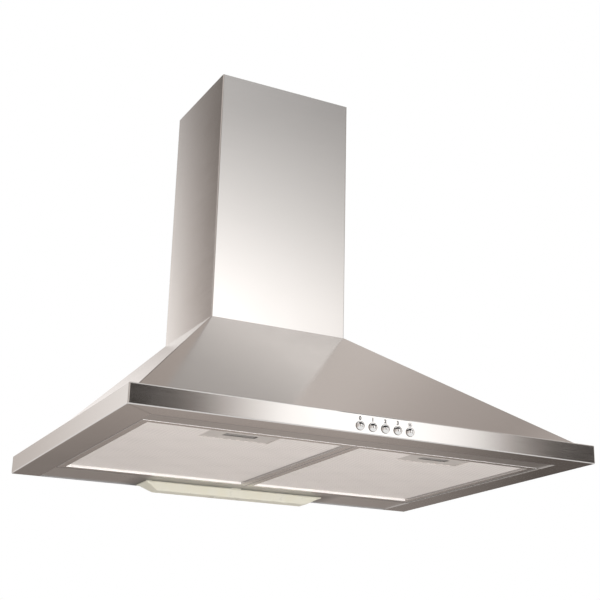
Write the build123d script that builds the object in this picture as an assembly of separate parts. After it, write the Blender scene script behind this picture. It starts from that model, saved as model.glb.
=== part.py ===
from build123d import *
from math import cos, hypot, radians, sin
import os

# A wall-hung chimney range hood, as the pieces that it is put together from.
# X runs to the right seen from the front, Y into the wall and Z up, in millimetres.
# The wall's face is y = 0, and z = 0 is the lower face of the rim.

# ---------------------------------------------------------------- sheet and clearances
sheet = 1.0  # wall of the folded steel sheets
bend = 1.5  # outside radius of the folds that show
free = 0.3  # gap between pieces that move past each other
running = 0.05  # radial clearance of a turning or sliding round piece
past = 5.0  # how far a cutting shape runs past what it cuts

# ---------------------------------------------------------------- rim band
hood_width = 600.0
hood_depth = 450.0
rim_height = 23.0
ledge = 11.5  # level step between the fascia and the canopy's faces
ledge_tail = 14.0  # part of the ledge that the canopy's foot covers
front_flange = 32.0  # lower flange behind the fascia
side_flange = 37.0  # lower flange inside each side band
mitre_slit = 0.5

# ---------------------------------------------------------------- canopy and chimney
canopy_height = 203.0  # from z = 0 to the chimney's seat
seat_flange = 12.0
foot_flange = 10.0
back_flange = 10.0
chimney_width = 200.0
chimney_depth = 167.0
chimney_height = 360.0
chimney_return = 12.0  # folded strip of each cover along the wall
chimney_foot = 12.0  # inner foot of the lower cover, which the upper one rests on
cover_gap = 0.6  # between the two telescoping covers
upper_height = 356.0
vent_count = 5
vent_length = 70.0
vent_width = 4.0
vent_pitch = 9.0
vent_drop = 22.0  # from the upper cover's top to its first vent

# ---------------------------------------------------------------- floor frame
back_strip = 70.0  # level strip along the wall, which carries the lamp
front_strip = 64.0  # from the fascia to the filter opening
floor_overlap = 8.0  # floor sheet over the rim's lower flanges
lip_height = 5.8  # top of the lip round the filter opening
rail_width = 24.0
rail_height = 10.0
rail_foot = 10.0

# ---------------------------------------------------------------- grease filters
filter_thickness = 9.0
filter_side_gap = 1.5
filter_front_gap = 1.5
filter_back_gap = 2.0
filter_middle_gap = 1.0
border = 9.0  # folded border round the mesh
border_wall = 0.8
mesh_recess = 3.0  # mesh face above the border's lower face
drain_radius = 1.4
drain_inset = 4.0
tab_width = 20.0
tab_length = 6.5
tab_spacing = 160.0
tab_thickness = 1.0

# ---------------------------------------------------------------- filter latch
handle_width = 86.0
handle_depth = 57.0
handle_lift = 0.8  # handle plate above the mesh face
handle_wall = 0.8
cup_height = 9.0
finger_slot_width = 40.0
finger_slot_depth = 8.0
finger_slot_front = 30.5  # from the pocket's front to the slot
latch_travel = 6.0
latch_thickness = 1.2
latch_width = 56.0
latch_land = 7.0  # latch behind its window
tongue_width = 26.0
tongue_bite = 4.0  # tongue past the lip
spring_leaf = 0.4
spring_width = 52.0

# ---------------------------------------------------------------- push buttons
button_count = 5
button_pitch = 16.2
button_height = 8.8  # of the axes above z = 0
button_radius = 5.0
button_reach = 4.0  # cap proud of the fascia
button_skirt = 3.5  # cap behind the fascia's outer face
button_dome = 2.6
button_travel = 3.0
stem_radius = 2.5
stem_length = 14.0
switch_margin = 13.0  # switch block past the outer buttons
switch_height = 17.0
switch_depth = 24.0
bracket_wall = 1.0

# ---------------------------------------------------------------- lamp
lamp_offset = 6.0  # lens flange from the wall
lens_length = 264.0
lens_width = 40.0
lens_drop = 10.0
lens_slope = 18.0  # how far each end of the tray leans in
lens_side_slope = 8.0
lens_rim = 2.0
lens_wall = 1.6
lens_flange = 1.5
lens_tongue_height = 4.0
lens_tongue_width = 12.0
lamp_cut_margin = 4.0
hinge_spacing = 180.0
hinge_length = 12.0
hinge_pin_radius = 0.8
hinge_knuckle_radius = 1.8
hinge_drop = 0.1  # knuckle's top above the flange's lower face
lamp_box_height = 42.0
lamp_box_wall = 0.8
lamp_box_length = 268.0
lamp_box_depth = 44.0
lamp_box_flange = 5.0
socket_radius = 12.0
socket_length = 28.0
cap_radius = 7.0
cap_length = 22.0
bulb_radius = 17.0
bulb_length = 64.0

# ---------------------------------------------------------------- fan
fan_clear = 10.4  # between the filter rail and the scroll
scroll_share = 0.345  # scroll's narrowest radius, of the canopy's height
scroll_step = 8.0  # growth of the radius with each quarter
scroll_wall = 2.0
scroll_width = 108.0
tongue_offset = 14.0  # outlet's near wall from the shaft
tongue_radius = 6.0
inlet_flare = 7.0
lug_radius = 4.5
lug_length = 10.0
outlet_flange = 132.0
outlet_flange_wall = 3.0
outlet_hole = 108.0  # square hole in the top plate, over the scroll's mouth
wheel_gap = 8.0  # between the wheel and the scroll at its narrowest
inlet_step = 12.0  # inlet inside the wheel's rim
impeller_width = 90.0
impeller_ring = 2.0
impeller_disc = 2.0
blade_count = 32
blade_depth = 10.0
blade_wall = 1.2
blade_bow = 2.2
hub_radius = 10.0
hub_length = 18.0
shaft_radius = 4.0
motor_clear = 12.0  # between the motor and the inlet
motor_start = 12.0  # motor's front face from the middle of the fan
motor_cap = 12.0
stator_length = 24.0
rear_cap_length = 24.0
motor_flange_radius = 44.0
motor_flange_wall = 2.5
rotor_radius = 19.7
rotor_length = 20.0
bearing_radius = 11.0
bearing_width = 7.0
mount_ring = 7.0
mount_wall = 2.5
mount_arm = 12.0
mount_reach = 14.0  # bushes outside the inlet
bush_radius = 6.0
bush_height = 3.0

# ---------------------------------------------------------------- outlet collar and flaps
collar_radius = 60.0
collar_wall = 1.5
collar_height = 36.0
collar_base = 132.0
collar_base_wall = 2.0
flap_height = 9.0  # hinge pin above the collar's base
flap_wall = 1.0
flap_pin_radius = 1.5
flap_knuckle_radius = 3.0
flap_knuckles = 4
flap_ledge = 3.0
top_plate_inset = 4.0

# ---------------------------------------------------------------- electrical parts
capacitor_radius = 15.0
capacitor_length = 60.0
capacitor_x = -70.0
capacitor_z = 70.0
clip_wall = 1.0
clip_width = 14.0
clip_ear = 12.0
terminal_width = 66.0
terminal_height = 44.0
terminal_depth = 26.0
terminal_wall = 2.0
terminal_x = 134.0
terminal_z = 52.0
lid_wall = 2.0
gland_x = 76.0
gland_y = -20.0
gland_thread = 6.5
gland_flange = 9.0
gland_bore = 4.0
gland_height = 14.0
gland_nut = 5.0
lead_radius = 2.0
lead_bend = 15.0
lead_run = 40.0

# ---------------------------------------------------------------- screws and wall fixings
screw_radius = 2.0
screw_head = 3.5
screw_head_height = 2.2
screw_clearance = 0.1
case_screw_length = 8.0
keyhole_spacing = 240.0
keyhole_z = 130.0
keyhole_head = 5.5
keyhole_neck = 3.2
keyhole_rise = 12.0
security_spacing = 400.0
security_z = 45.0
security_radius = 3.0
bracket_drop = 10.0  # chimney bracket below the upper cover's top
bracket_height = 26.0
bracket_ear = 26.0
bracket_hole_spacing = 100.0
bracket_hole_radius = 2.75
bracket_pad_radius = 8.0

# ---------------------------------------------------------------- levels worked out from them
half_width = hood_width / 2
canopy_half = half_width - ledge
canopy_depth = hood_depth - ledge
canopy_rise = canopy_height - rim_height
neck_half = chimney_width / 2
side_slope = (canopy_half - neck_half) / canopy_rise
front_slope = (canopy_depth - chimney_depth) / canopy_rise
floor_top = 2 * sheet
opening_half = half_width - side_flange - sheet
opening_front = front_strip - hood_depth
top_plate_top = canopy_height - sheet
top_plate_low = top_plate_top - sheet
scroll_radius = round(scroll_share * canopy_height)
impeller_radius = scroll_radius - wheel_gap
inlet_radius = impeller_radius - inlet_step
motor_radius = inlet_radius - motor_clear
mount_circle = inlet_radius + mount_reach
rail_top = sheet + filter_thickness + 2 * free + rail_height
fan_height = rail_top + fan_clear + scroll_wall + scroll_radius + 1.5 * scroll_step
outlet_y = -chimney_depth / 2
scroll_reach = scroll_radius + 2.5 * scroll_step
fan_y = outlet_y - (tongue_offset + scroll_reach) / 2
fan_plane = Plane(origin=(0, fan_y, fan_height), x_dir=(0, 1, 0), z_dir=(1, 0, 0))
fascia_plane = Plane(origin=(0, -hood_depth, button_height), x_dir=(1, 0, 0), z_dir=(0, -1, 0))
wall_plane = Plane(origin=(0, 0, 0), x_dir=(1, 0, 0), z_dir=(0, -1, 0))
button_places = [(i - (button_count - 1) / 2) * button_pitch for i in range(button_count)]
button_names = ["off", "speed_1", "speed_2", "speed_3", "lamp"]


# ---------------------------------------------------------------- small helpers
def block(x, y, z):
    """A box between the two limits of each axis."""
    centre = Pos((x[0] + x[1]) / 2, (y[0] + y[1]) / 2, (z[0] + z[1]) / 2)
    return centre * Box(x[1] - x[0], y[1] - y[0], z[1] - z[0])


def disc(plane, radius, low, high, at=(0, 0)):
    """A cylinder square to a plane, from low to high along the plane's normal."""
    return extrude(plane.offset(low) * Pos(*at) * Circle(radius), high - low)


def ring(plane, outer, inner, low, high, at=(0, 0)):
    """A tube square to a plane."""
    return disc(plane, outer, low, high, at) - disc(plane, inner, low - past, high + past, at)


def turned(plane, points):
    """A solid turned about a plane's normal from (height, radius) points."""
    across = plane.x_dir.cross(plane.y_dir).cross(plane.x_dir)
    section = Plane(origin=plane.origin, x_dir=plane.z_dir, z_dir=across)
    return revolve(section * make_face(Polyline(*points, close=True)), Axis(plane.origin, plane.z_dir))


def screw(plane, at, grip):
    """A pan-head screw whose head stands on the plane and whose shank goes back through it."""
    head = disc(plane, screw_head, 0, screw_head_height, at)
    return head + disc(plane, screw_radius, -grip, 0, at)


def screw_hole(plane, at, depth=past):
    """The clearance hole for such a screw."""
    return disc(plane, screw_radius + screw_clearance, -depth, depth, at)


def mirrored(shape):
    """The same shape on the other side of the hood's middle."""
    return mirror(shape, Plane.YZ)


def both_sides(shape):
    """A shape and its mirror image."""
    return [shape, mirrored(shape)]


def save(name, *pieces):
    """Writes one named part as its solids."""
    solids = [solid for piece in pieces for solid in piece.solids()]
    whole = solids[0] if len(solids) == 1 else Compound(children=solids)
    export_step(whole, f"parts/{name}.step")


# ---------------------------------------------------------------- rim, canopy and back panel
def canopy_section(z, side_wall=0.0, front_wall=0.0, back=0.0):
    """The canopy's level outline at height z, drawn in by its walls."""
    half = canopy_half - (z - rim_height) * side_slope - side_wall
    depth = canopy_depth - (z - rim_height) * front_slope - front_wall
    return Plane.XY.offset(z) * Pos(0, (back - depth) / 2) * Rectangle(2 * half, depth + back)


def canopy_solid(side_wall=0.0, front_wall=0.0, back=0.0, over=0.0):
    """The canopy as a solid, over its height and past both ends."""
    low = canopy_section(rim_height - over, side_wall, front_wall, back)
    high = canopy_section(canopy_height + over, side_wall, front_wall, back)
    return loft([low.face(), high.face()], ruled=True)


def back_panel():
    """Flat sheet behind the canopy, with keyholes and security holes."""
    side_wall = sheet * hypot(1, side_slope)
    foot = canopy_half - side_wall
    neck = foot - (top_plate_top - rim_height) * side_slope
    band = half_width - sheet
    corners = [(-band, 0), (band, 0), (band, rim_height), (foot, rim_height), (neck, top_plate_top)]
    corners += [(-x, z) for x, z in reversed(corners[2:])]
    outline = Plane.XZ * make_face(Polyline(*corners, close=True))
    panel = extrude(outline, sheet)
    for side in (-1, 1):
        x = side * keyhole_spacing / 2
        panel -= disc(wall_plane, keyhole_head, -past, past, (x, keyhole_z))
        panel -= disc(wall_plane, keyhole_neck, -past, past, (x, keyhole_z + keyhole_rise))
        neck_slot = (x - keyhole_neck, x + keyhole_neck), (-past, past), (keyhole_z, keyhole_z + keyhole_rise)
        panel -= block(*neck_slot)
        panel -= disc(wall_plane, security_radius, -past, past, (side * security_spacing / 2, security_z))
    return panel


def canopy_shell():
    """Three sloping faces with the chimney's seat, the foot and the back flanges."""
    side_wall = sheet * hypot(1, side_slope)
    front_wall = sheet * hypot(1, front_slope)
    outside = canopy_solid()
    hips = outside.edges().filter_by(lambda e: e.center().Y < -chimney_depth)
    hips = hips.filter_by(lambda e: abs(e.center().X) > neck_half)
    hips = [e for e in hips if abs(e.bounding_box().size.Z - canopy_rise) < 1]
    body = fillet(hips, bend)
    shell = body - canopy_solid(side_wall, front_wall, past, past)
    inner_half = neck_half - seat_flange
    seat = body & block((-hood_width, hood_width), (-hood_depth, 0), (top_plate_top, canopy_height))
    seat -= block((-inner_half, inner_half), (seat_flange - chimney_depth, past), (0, canopy_height + past))
    foot = body & block((-hood_width, hood_width), (-hood_depth, 0), (rim_height, rim_height + sheet))
    foot_inner = canopy_half - foot_flange
    foot -= block((-foot_inner, foot_inner), (foot_flange - canopy_depth, past), (0, canopy_height))
    rear = body & block((-hood_width, hood_width), (-2 * sheet, 0), (rim_height, canopy_height))
    rear -= canopy_solid(side_wall + back_flange, 0, past, past)
    shell = shell + seat + foot + rear - back_panel()
    for side in (-1, 1):
        for y in chimney_screw_rows():
            shell -= screw_hole(Plane.XY.offset(canopy_height), (side * chimney_screw_x(), y))
    return shell


def rim_band():
    """Fascia and side bands with their ledge, mitred lower flanges and button holes."""
    outer = block((-half_width, half_width), (-hood_depth, 0), (0, rim_height))
    lines = outer.edges().filter_by(lambda e: e.center().Y < 0 - sheet)
    level = [e for e in lines if e.center().Z != rim_height / 2]
    upright = [e for e in lines if e.center().Z == rim_height / 2 and e.center().Y < -hood_depth / 2]
    band = fillet(level + upright, bend)
    inner = half_width - sheet
    band -= block((-inner, inner), (sheet - hood_depth, past), (sheet, rim_height - sheet))
    ledge_in = ledge + ledge_tail
    ledge_half = half_width - ledge_in
    band -= block((-ledge_half, ledge_half), (ledge_in - hood_depth, past), (sheet, rim_height + past))
    flange_half = half_width - side_flange
    band -= block((-flange_half, flange_half), (front_flange - hood_depth, past), (-past, sheet + past))
    band -= back_panel()
    corners = [(side_flange, front_flange, 0.0), (ledge_in, ledge_in, rim_height - sheet)]
    for x_in, y_in, z in corners:
        for side in (-1, 1):
            start = Vector(side * (half_width - bend - sheet), -hood_depth + bend + sheet)
            end = Vector(side * (half_width - x_in), -hood_depth + y_in)
            along = (end - start).normalized()
            middle = (start + end) / 2 + along * past / 2
            slit = Rectangle((end - start).length + past, mitre_slit)
            turn = Rot(0, 0, Vector(1, 0).get_signed_angle(along, Vector(0, 0, 1)))
            band -= extrude(Plane.XY.offset(z) * Pos(middle.X, middle.Y) * turn * slit, sheet)
    for x in button_places:
        band -= disc(fascia_plane, button_radius + free, -past, past, (x, 0))
    return band


# ---------------------------------------------------------------- chimney
def chimney_screw_x():
    """Where the screws of the chimney's foot lie, left and right."""
    return neck_half - sheet - chimney_foot / 2 - screw_radius / 2


def chimney_screw_rows():
    """How far from the wall they lie."""
    return (-chimney_depth * 0.25, -chimney_depth * 0.75)


def cover(half, front, back, low, high):
    """A folded channel, open towards the wall between its two return strips."""
    outer = block((-half, half), (front, back), (low, high))
    corners = outer.edges().filter_by(Axis.Z).sort_by(Axis.Y)[:2]
    folded = fillet(corners, bend)
    folded -= block((sheet - half, half - sheet), (front + sheet, back - sheet), (low - past, high + past))
    gap = half - chimney_return
    return folded - block((-gap, gap), (back - 2 * sheet, back + past), (low - past, high + past))


def chimney_lower():
    """The outer cover, standing on the canopy's seat."""
    top = canopy_height + chimney_height
    shell = cover(neck_half, -chimney_depth, 0, canopy_height, top)
    inner = neck_half - sheet
    for side in (-1, 1):
        x = sorted((side * inner, side * (inner - chimney_foot)))
        shell += block(x, (sheet - chimney_depth, -sheet), (canopy_height, canopy_height + sheet))
        for y in chimney_screw_rows():
            shell -= screw_hole(Plane.XY.offset(canopy_height), (side * chimney_screw_x(), y))
    return shell


def upper_limits():
    """Half width, front, back, bottom and top of the upper cover."""
    half = neck_half - sheet - cover_gap
    front = sheet + cover_gap - chimney_depth
    low = canopy_height + sheet + free
    return half, front, -sheet - cover_gap, low, low + upper_height


def chimney_upper():
    """The inner cover, with vents near its top that show when it is drawn up."""
    half, front, back, low, high = upper_limits()
    shell = cover(half, front, back, low, high)
    middle = (front + back) / 2
    for i in range(vent_count):
        z = high - bracket_height - vent_drop - i * vent_pitch
        slot = SlotOverall(vent_length, vent_width)
        for side in (-1, 1):
            plane = Plane(origin=(side * half, middle, z), x_dir=(0, 1, 0), z_dir=(1, 0, 0))
            shell -= extrude(plane * slot, past, both=True)
    return shell


def chimney_bracket():
    """Channel that screws to the wall and carries the upper cover by its two ears."""
    half, front, back, low, high = upper_limits()
    inner = half - sheet
    face = back - sheet
    z = (high - bracket_drop - bracket_height, high - bracket_drop)
    bracket = block((-inner, inner), (face - sheet, face), z)
    for side in (-1, 1):
        x = sorted((side * inner, side * (inner - sheet)))
        bracket += block(x, (face - bracket_ear, face), z)
    for side in (-1, 1):
        at = (side * bracket_hole_spacing / 2, (z[0] + z[1]) / 2)
        bracket += disc(wall_plane, bracket_pad_radius, free, -face, at)
        bracket -= disc(wall_plane, bracket_hole_radius, -past, 2 * past, at)
    return bracket


# ---------------------------------------------------------------- floor frame
def floor_frame():
    """Sheet on the rim's flanges, with the filter opening, its lips and the lamp cut-out."""
    half = half_width - side_flange + floor_overlap
    front = front_flange - hood_depth - floor_overlap
    frame = block((-half, half), (front, -sheet), (sheet, floor_top))
    lipped = opening_half + sheet
    lip_front = opening_front - sheet
    frame += block((-lipped, lipped), (lip_front, -back_strip), (sheet, lip_height))
    frame -= block((-opening_half, opening_half), (opening_front, -back_strip), (0, lip_height + past))
    cut_half = lens_length / 2 - lamp_cut_margin
    cut_front = lamp_cut_margin - lamp_offset - lens_width
    frame -= block((-cut_half, cut_half), (cut_front, -lamp_offset - lamp_cut_margin), (0, floor_top + past))
    return frame - lens_tongue_slot()


def filter_rail():
    """Stiffening channel over the line where the two filters meet."""
    low = rail_top - rail_height
    front = opening_front - sheet
    half = rail_width / 2
    rail = block((-half, half), (front, -back_strip), (low, low + rail_height))
    hollow = (low - past, low + rail_height - sheet)
    rail -= block((sheet - half, half - sheet), (front - past, past - back_strip), hollow)
    for y, out in ((front, -1), (-back_strip, 1)):
        wall = sorted((y, y + out * sheet))
        foot = sorted((y, y + out * rail_foot))
        rail += block((-half, half), wall, (floor_top, low + rail_height))
        rail += block((-half, half), foot, (floor_top, floor_top + sheet))
    return rail


# ---------------------------------------------------------------- grease filters
filter_width = opening_half - filter_side_gap - filter_middle_gap / 2
filter_front = opening_front + filter_front_gap
filter_back = -back_strip - filter_back_gap
filter_x = (filter_middle_gap + filter_width) / 2
filter_low = sheet
filter_high = sheet + filter_thickness
mesh_low = filter_low + mesh_recess
mesh_high = filter_high - border_wall
pocket_front = filter_front + border_wall
pocket_back = pocket_front + handle_depth
plate_low = mesh_low + handle_lift
plate_high = plate_low + handle_wall
latch_low = max(plate_high, lip_height) + free
latch_high = latch_low + latch_thickness


def filter_block(inset, low, high, grow=0.0):
    """A block over one filter's outline, drawn in by an inset."""
    x = (filter_x - filter_width / 2 + inset, filter_x + filter_width / 2 - inset)
    return block(x, (filter_front + inset, filter_back - inset), (low - grow, high + grow))


def filter_border():
    """Folded border with its inner return wall, rear tabs and the slot for the tongue."""
    outer = filter_block(0, filter_low, filter_high)
    edges = outer.faces().sort_by(Axis.Z)[0].edges()
    frame = fillet(edges, border_wall * 0.9)
    frame -= filter_block(border, filter_low, filter_high, past)
    inner = filter_block(border, filter_low, filter_high).faces().sort_by(Axis.Z)[0].edges()
    centres = [e.center() for e in inner]
    lowest = frame.faces().sort_by(Axis.Z)[0].edges()
    rim = [e for e in lowest if any((e.center() - c).length < free for c in centres)]
    frame = fillet(rim, border_wall * 0.9)
    wide = filter_block(border_wall, filter_low + border_wall, mesh_high)
    frame -= wide - filter_block(border - border_wall, filter_low, mesh_low)
    low = floor_top + free
    for side in (-1, 1):
        x = filter_x + side * tab_spacing / 2
        y = (filter_back - border_wall / 2, filter_back + tab_length)
        frame += block((x - tab_width / 2, x + tab_width / 2), y, (low, low + tab_thickness))
    half = tongue_width / 2 + free
    web = (filter_front - past, filter_front + border_wall + past)
    frame -= block((filter_x - half, filter_x + half), web, (latch_low - free, latch_high + free))
    wide = handle_width / 2
    inside = (filter_front + border_wall, filter_front + border + past)
    return frame - block((filter_x - wide, filter_x + wide), inside, (mesh_low + sheet, filter_high + past))


def filter_mesh():
    """Pack of aluminium mesh in the border, cut out round the handle and drained at its corners."""
    inset = border_wall + screw_clearance
    pack = filter_block(inset, mesh_low, mesh_high)
    half = handle_width / 2
    pocket = (filter_x - half, filter_x + half), (filter_front - past, pocket_back)
    pack -= block(*pocket, (filter_low, filter_high))
    reach = border + drain_inset
    for x in (filter_x - filter_width / 2 + reach, filter_x + filter_width / 2 - reach):
        for y in (filter_front + reach, filter_back - reach):
            pack -= disc(Plane.XY, drain_radius, filter_low, filter_high, (x, y))
    return pack


def slot_limits():
    """Front and back of the finger slot in the handle plate."""
    front = pocket_front + finger_slot_front
    return front, front + finger_slot_depth + latch_travel


def handle_plate():
    """Plate that closes the pocket from below, with the finger slot."""
    half = handle_width / 2
    plate = block((filter_x - half, filter_x + half), (pocket_front, pocket_back), (plate_low, plate_high))
    front, back = slot_limits()
    slot = Pos(filter_x, (front + back) / 2) * RectangleRounded(finger_slot_width, back - front, 2.0)
    return plate - extrude(Plane.XY.offset(plate_low - past) * slot, 3 * past)


def handle_cup():
    """Cup over the pocket, which keeps the latch and its spring."""
    half = handle_width / 2
    y = (pocket_front, pocket_back)
    top = plate_high + cup_height
    cup = block((filter_x - half, filter_x + half), y, (plate_high, top))
    cup = fillet(cup.edges().filter_by(Axis.Z), 3.0)
    inner = (filter_x - half + handle_wall, filter_x + half - handle_wall)
    cup -= block(inner, (y[0] + handle_wall, y[1] - handle_wall), (plate_high - past, top - handle_wall))
    mouth = tongue_width / 2 + free
    front = (y[0] - past, y[0] + 2 * handle_wall)
    return cup - block((filter_x - mouth, filter_x + mouth), front, (plate_high - past, latch_high + free))


def latch_slide():
    """Slider behind the finger slot: a window for the finger, a tongue over the lip and a post."""
    window_front, plate_slot_back = slot_limits()
    window_back = window_front + finger_slot_depth
    back = window_back + latch_land
    half = latch_width / 2
    front = pocket_front + handle_wall + free
    z = (latch_low, latch_high)
    slide = block((filter_x - half, filter_x + half), (front, back), z)
    tongue = tongue_width / 2
    tip = opening_front - sheet - tongue_bite
    slide += block((filter_x - tongue, filter_x + tongue), (tip, front + past), z)
    window = finger_slot_width / 2 - sheet
    slide -= block((filter_x - window, filter_x + window), (window_front, window_back), (0, filter_high))
    post_top = plate_high + cup_height - handle_wall - free
    upright = (back - latch_thickness, back)
    return slide + block((filter_x - half, filter_x + half), upright, (latch_low, post_top))


def latch_spring():
    """Bowed leaf between the post and the cup's rear wall."""
    crown = slot_limits()[0] + finger_slot_depth + latch_land + free
    feet = pocket_back - handle_wall - free
    half = spring_width / 2
    middle = (filter_x, crown)
    outer = ThreePointArc((filter_x - half, feet), middle, (filter_x + half, feet))
    inner_crown = (filter_x, crown + spring_leaf)
    within = half - 2 * spring_leaf
    inner = ThreePointArc((filter_x - within, feet), inner_crown, (filter_x + within, feet))
    ends = [Line(outer @ 0, inner @ 0), Line(outer @ 1, inner @ 1)]
    leaf = Plane.XY.offset(latch_high + free) * make_face([outer, inner, *ends])
    return extrude(leaf, plate_high + cup_height - handle_wall - 2 * free - latch_high - free)


# ---------------------------------------------------------------- push buttons and switch
def push_button(x):
    """Domed cap with its stem."""
    dome_start = button_reach - button_dome
    cap = disc(fascia_plane, button_radius, -button_skirt, dome_start, (x, 0))
    ball_radius = (button_radius**2 + button_dome**2) / (2 * button_dome)
    centre = Vector(x, -hood_depth - button_reach + ball_radius, button_height)
    dome = Pos(*centre) * Sphere(ball_radius)
    dome &= disc(fascia_plane, button_radius, dome_start - sheet, button_reach + past, (x, 0))
    return cap + dome + disc(fascia_plane, stem_radius, -button_skirt - stem_length, -button_skirt, (x, 0))


def switch_front():
    """Front of the switch block, clear of the pressed caps."""
    return sheet - hood_depth + button_skirt - sheet + button_travel + 2 * free


def switch_block():
    """Interlocked five-button switch, with a blind guide for each stem."""
    half = button_places[-1] + switch_margin
    front = switch_front()
    body = block((-half, half), (front, front + switch_depth), (floor_top, floor_top + switch_height))
    deepest = button_skirt + stem_length + button_travel + free
    for x in button_places:
        body -= disc(fascia_plane, stem_radius + running, -deepest, 0, (x, 0))
    for side in (-1, 1):
        body -= disc(switch_side(side), screw_radius, -case_screw_length, past)
    return body


def switch_side(side):
    """Plane on the outside of one ear of the switch bracket, at its screw."""
    x = button_places[-1] + switch_margin + bracket_wall
    origin = (side * x, switch_front() + switch_depth * 0.5, floor_top + switch_height / 2)
    return Plane(origin=origin, x_dir=(0, 1, 0), z_dir=(side, 0, 0))


def switch_bracket():
    """Steel strip behind the fascia, with an ear along each end of the switch."""
    half = button_places[-1] + switch_margin
    front = sheet - hood_depth
    z = (floor_top, floor_top + switch_height)
    plate = block((-half - bracket_wall, half + bracket_wall), (front, front + bracket_wall), z)
    for x in button_places:
        plate -= disc(fascia_plane, button_radius + 2 * free, -2 * past, 0, (x, 0))
    for side in (-1, 1):
        x = sorted((side * half, side * (half + bracket_wall)))
        plate += block(x, (front, switch_front() + switch_depth * 0.7), z)
        plate -= disc(switch_side(side), screw_radius + screw_clearance, -2 * bracket_wall, past)
    return plate


def switch_screws():
    """One screw through each ear into the switch."""
    return [screw(switch_side(side), (0, 0), case_screw_length) for side in (-1, 1)]


# ---------------------------------------------------------------- lamp
lens_top = sheet - free
lens_front = -lamp_offset - lens_width
hinge_y = -lamp_offset / 2 - running * 10
hinge_z = hinge_drop - hinge_knuckle_radius - free


def lens_outline(z, inset_x, inset_y):
    """A level rectangle of the lens, drawn in along both directions."""
    middle = (lens_front - lamp_offset) / 2
    size = Rectangle(lens_length - 2 * inset_x, lens_width - 2 * inset_y)
    return (Plane.XY.offset(z) * Pos(0, middle) * size).face()


def lens_tongue_slot():
    """Slot in the floor sheet for the lens's snap tongue."""
    y = (lens_front - 2 * lens_rim, lens_front + 3 * lens_rim)
    half = lens_tongue_width / 2 + lens_rim
    return block((-half, half), y, (0, floor_top + past))


def lamp_lens():
    """Translucent tray with sloping sides, hinge knuckles behind and a snap tongue in front."""
    flange_low = lens_top - lens_flange
    low = -lens_drop
    upper = lens_outline(flange_low, lens_rim, lens_rim)
    lower = lens_outline(low, lens_slope + lens_rim, lens_side_slope + lens_rim)
    outer = loft([upper, lower], ruled=True)
    outer = chamfer(outer.faces().sort_by(Axis.Z)[0].edges(), lens_wall / 2)
    inset = lens_rim + lens_wall
    lens = outer + extrude(lens_outline(flange_low, 0, 0), lens_flange)
    run = flange_low - low
    rate_x = lens_slope / run
    rate_y = lens_side_slope / run
    high = lens_top + sheet
    top = lens_outline(high, inset - (high - flange_low) * rate_x, inset - (high - flange_low) * rate_y)
    deep = low + lens_wall
    bottom = lens_outline(deep, inset + (flange_low - deep) * rate_x, inset + (flange_low - deep) * rate_y)
    lens -= loft([top, bottom], ruled=True)
    tongue = (lens_front + lens_rim * 0.2, lens_front + lens_rim * 0.8)
    half = lens_tongue_width / 2
    lens += block((-half, half), tongue, (flange_low + lens_flange / 2, lens_top + lens_tongue_height))
    for side in (-1, 1):
        x = side * hinge_spacing / 2
        axis = Plane(origin=(x, hinge_y, hinge_z), x_dir=(0, 1, 0), z_dir=(1, 0, 0))
        half = hinge_length / 2 - free
        knuckle = disc(axis, hinge_knuckle_radius, -half, half)
        web_y = (-lamp_offset - lens_rim / 2, hinge_y)
        web = block((x - half, x + half), web_y, (hinge_z, flange_low + sheet / 2))
        lens += knuckle + web
        lens -= disc(axis, hinge_pin_radius + running, -2 * half, 2 * half)
    return lens


def lens_hinge(side):
    """Bracket under the floor sheet whose pin the lens turns on."""
    x = side * hinge_spacing / 2
    half = hinge_length / 2
    y = (-lamp_offset + free, hinge_y + hinge_knuckle_radius)
    top = sheet
    base_low = hinge_z + hinge_knuckle_radius + free
    bracket = block((x - half - sheet, x + half + sheet), y, (base_low, top))
    axis = Plane(origin=(x, hinge_y, hinge_z), x_dir=(0, 1, 0), z_dir=(1, 0, 0))
    for end in (-half - sheet, half):
        bracket += block((x + end, x + end + sheet), (hinge_y - hinge_knuckle_radius, y[1]), (hinge_z, top))
        bracket += disc(axis, hinge_knuckle_radius, end, end + sheet)
    return bracket + disc(axis, hinge_pin_radius, -half, half)


def lamp_box_limits():
    """Limits of the lamp box along each axis."""
    back = -lamp_offset / 2
    half = lamp_box_length / 2
    return (-half, half), (back - lamp_box_depth, back), (floor_top, floor_top + lamp_box_height)


def lamp_box():
    """White reflector box over the lens, open below, with a flange on the floor sheet."""
    x, y, z = lamp_box_limits()
    box = block(x, y, z)
    box = fillet(box.edges().filter_by(Axis.Z), 4.0)
    flange_x = (x[0] - lamp_box_flange, x[1] + lamp_box_flange)
    flange = block(flange_x, (y[0] - lamp_box_flange, -sheet), (z[0], z[0] + lamp_box_wall))
    box += flange
    w = lamp_box_wall
    return box - block((x[0] + w, x[1] - w), (y[0] + w, y[1] - w), (z[0] - past, z[1] - w))


def lamp_axis():
    """Plane at the left end wall of the lamp box, square to the lamps' axis."""
    x, y, z = lamp_box_limits()
    origin = (x[0] + lamp_box_wall, (y[0] + y[1]) / 2, (z[0] + z[1]) / 2)
    return Plane(origin=origin, x_dir=(0, 1, 0), z_dir=(1, 0, 0))


def lamp_socket():
    """Ceramic socket on the end wall of the lamp box."""
    axis = lamp_axis()
    body = disc(axis, socket_radius, 0, socket_length)
    body = fillet(body.faces().sort_by(Axis.X)[-1].edges(), 2.0)
    return body - disc(axis, cap_radius + running, socket_length - cap_length + 2, socket_length + past)


def lamp_cap():
    """Screw cap of a lamp, seated in the socket."""
    axis = lamp_axis()
    return disc(axis, cap_radius, socket_length - cap_length + 2, socket_length + 2)


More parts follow.
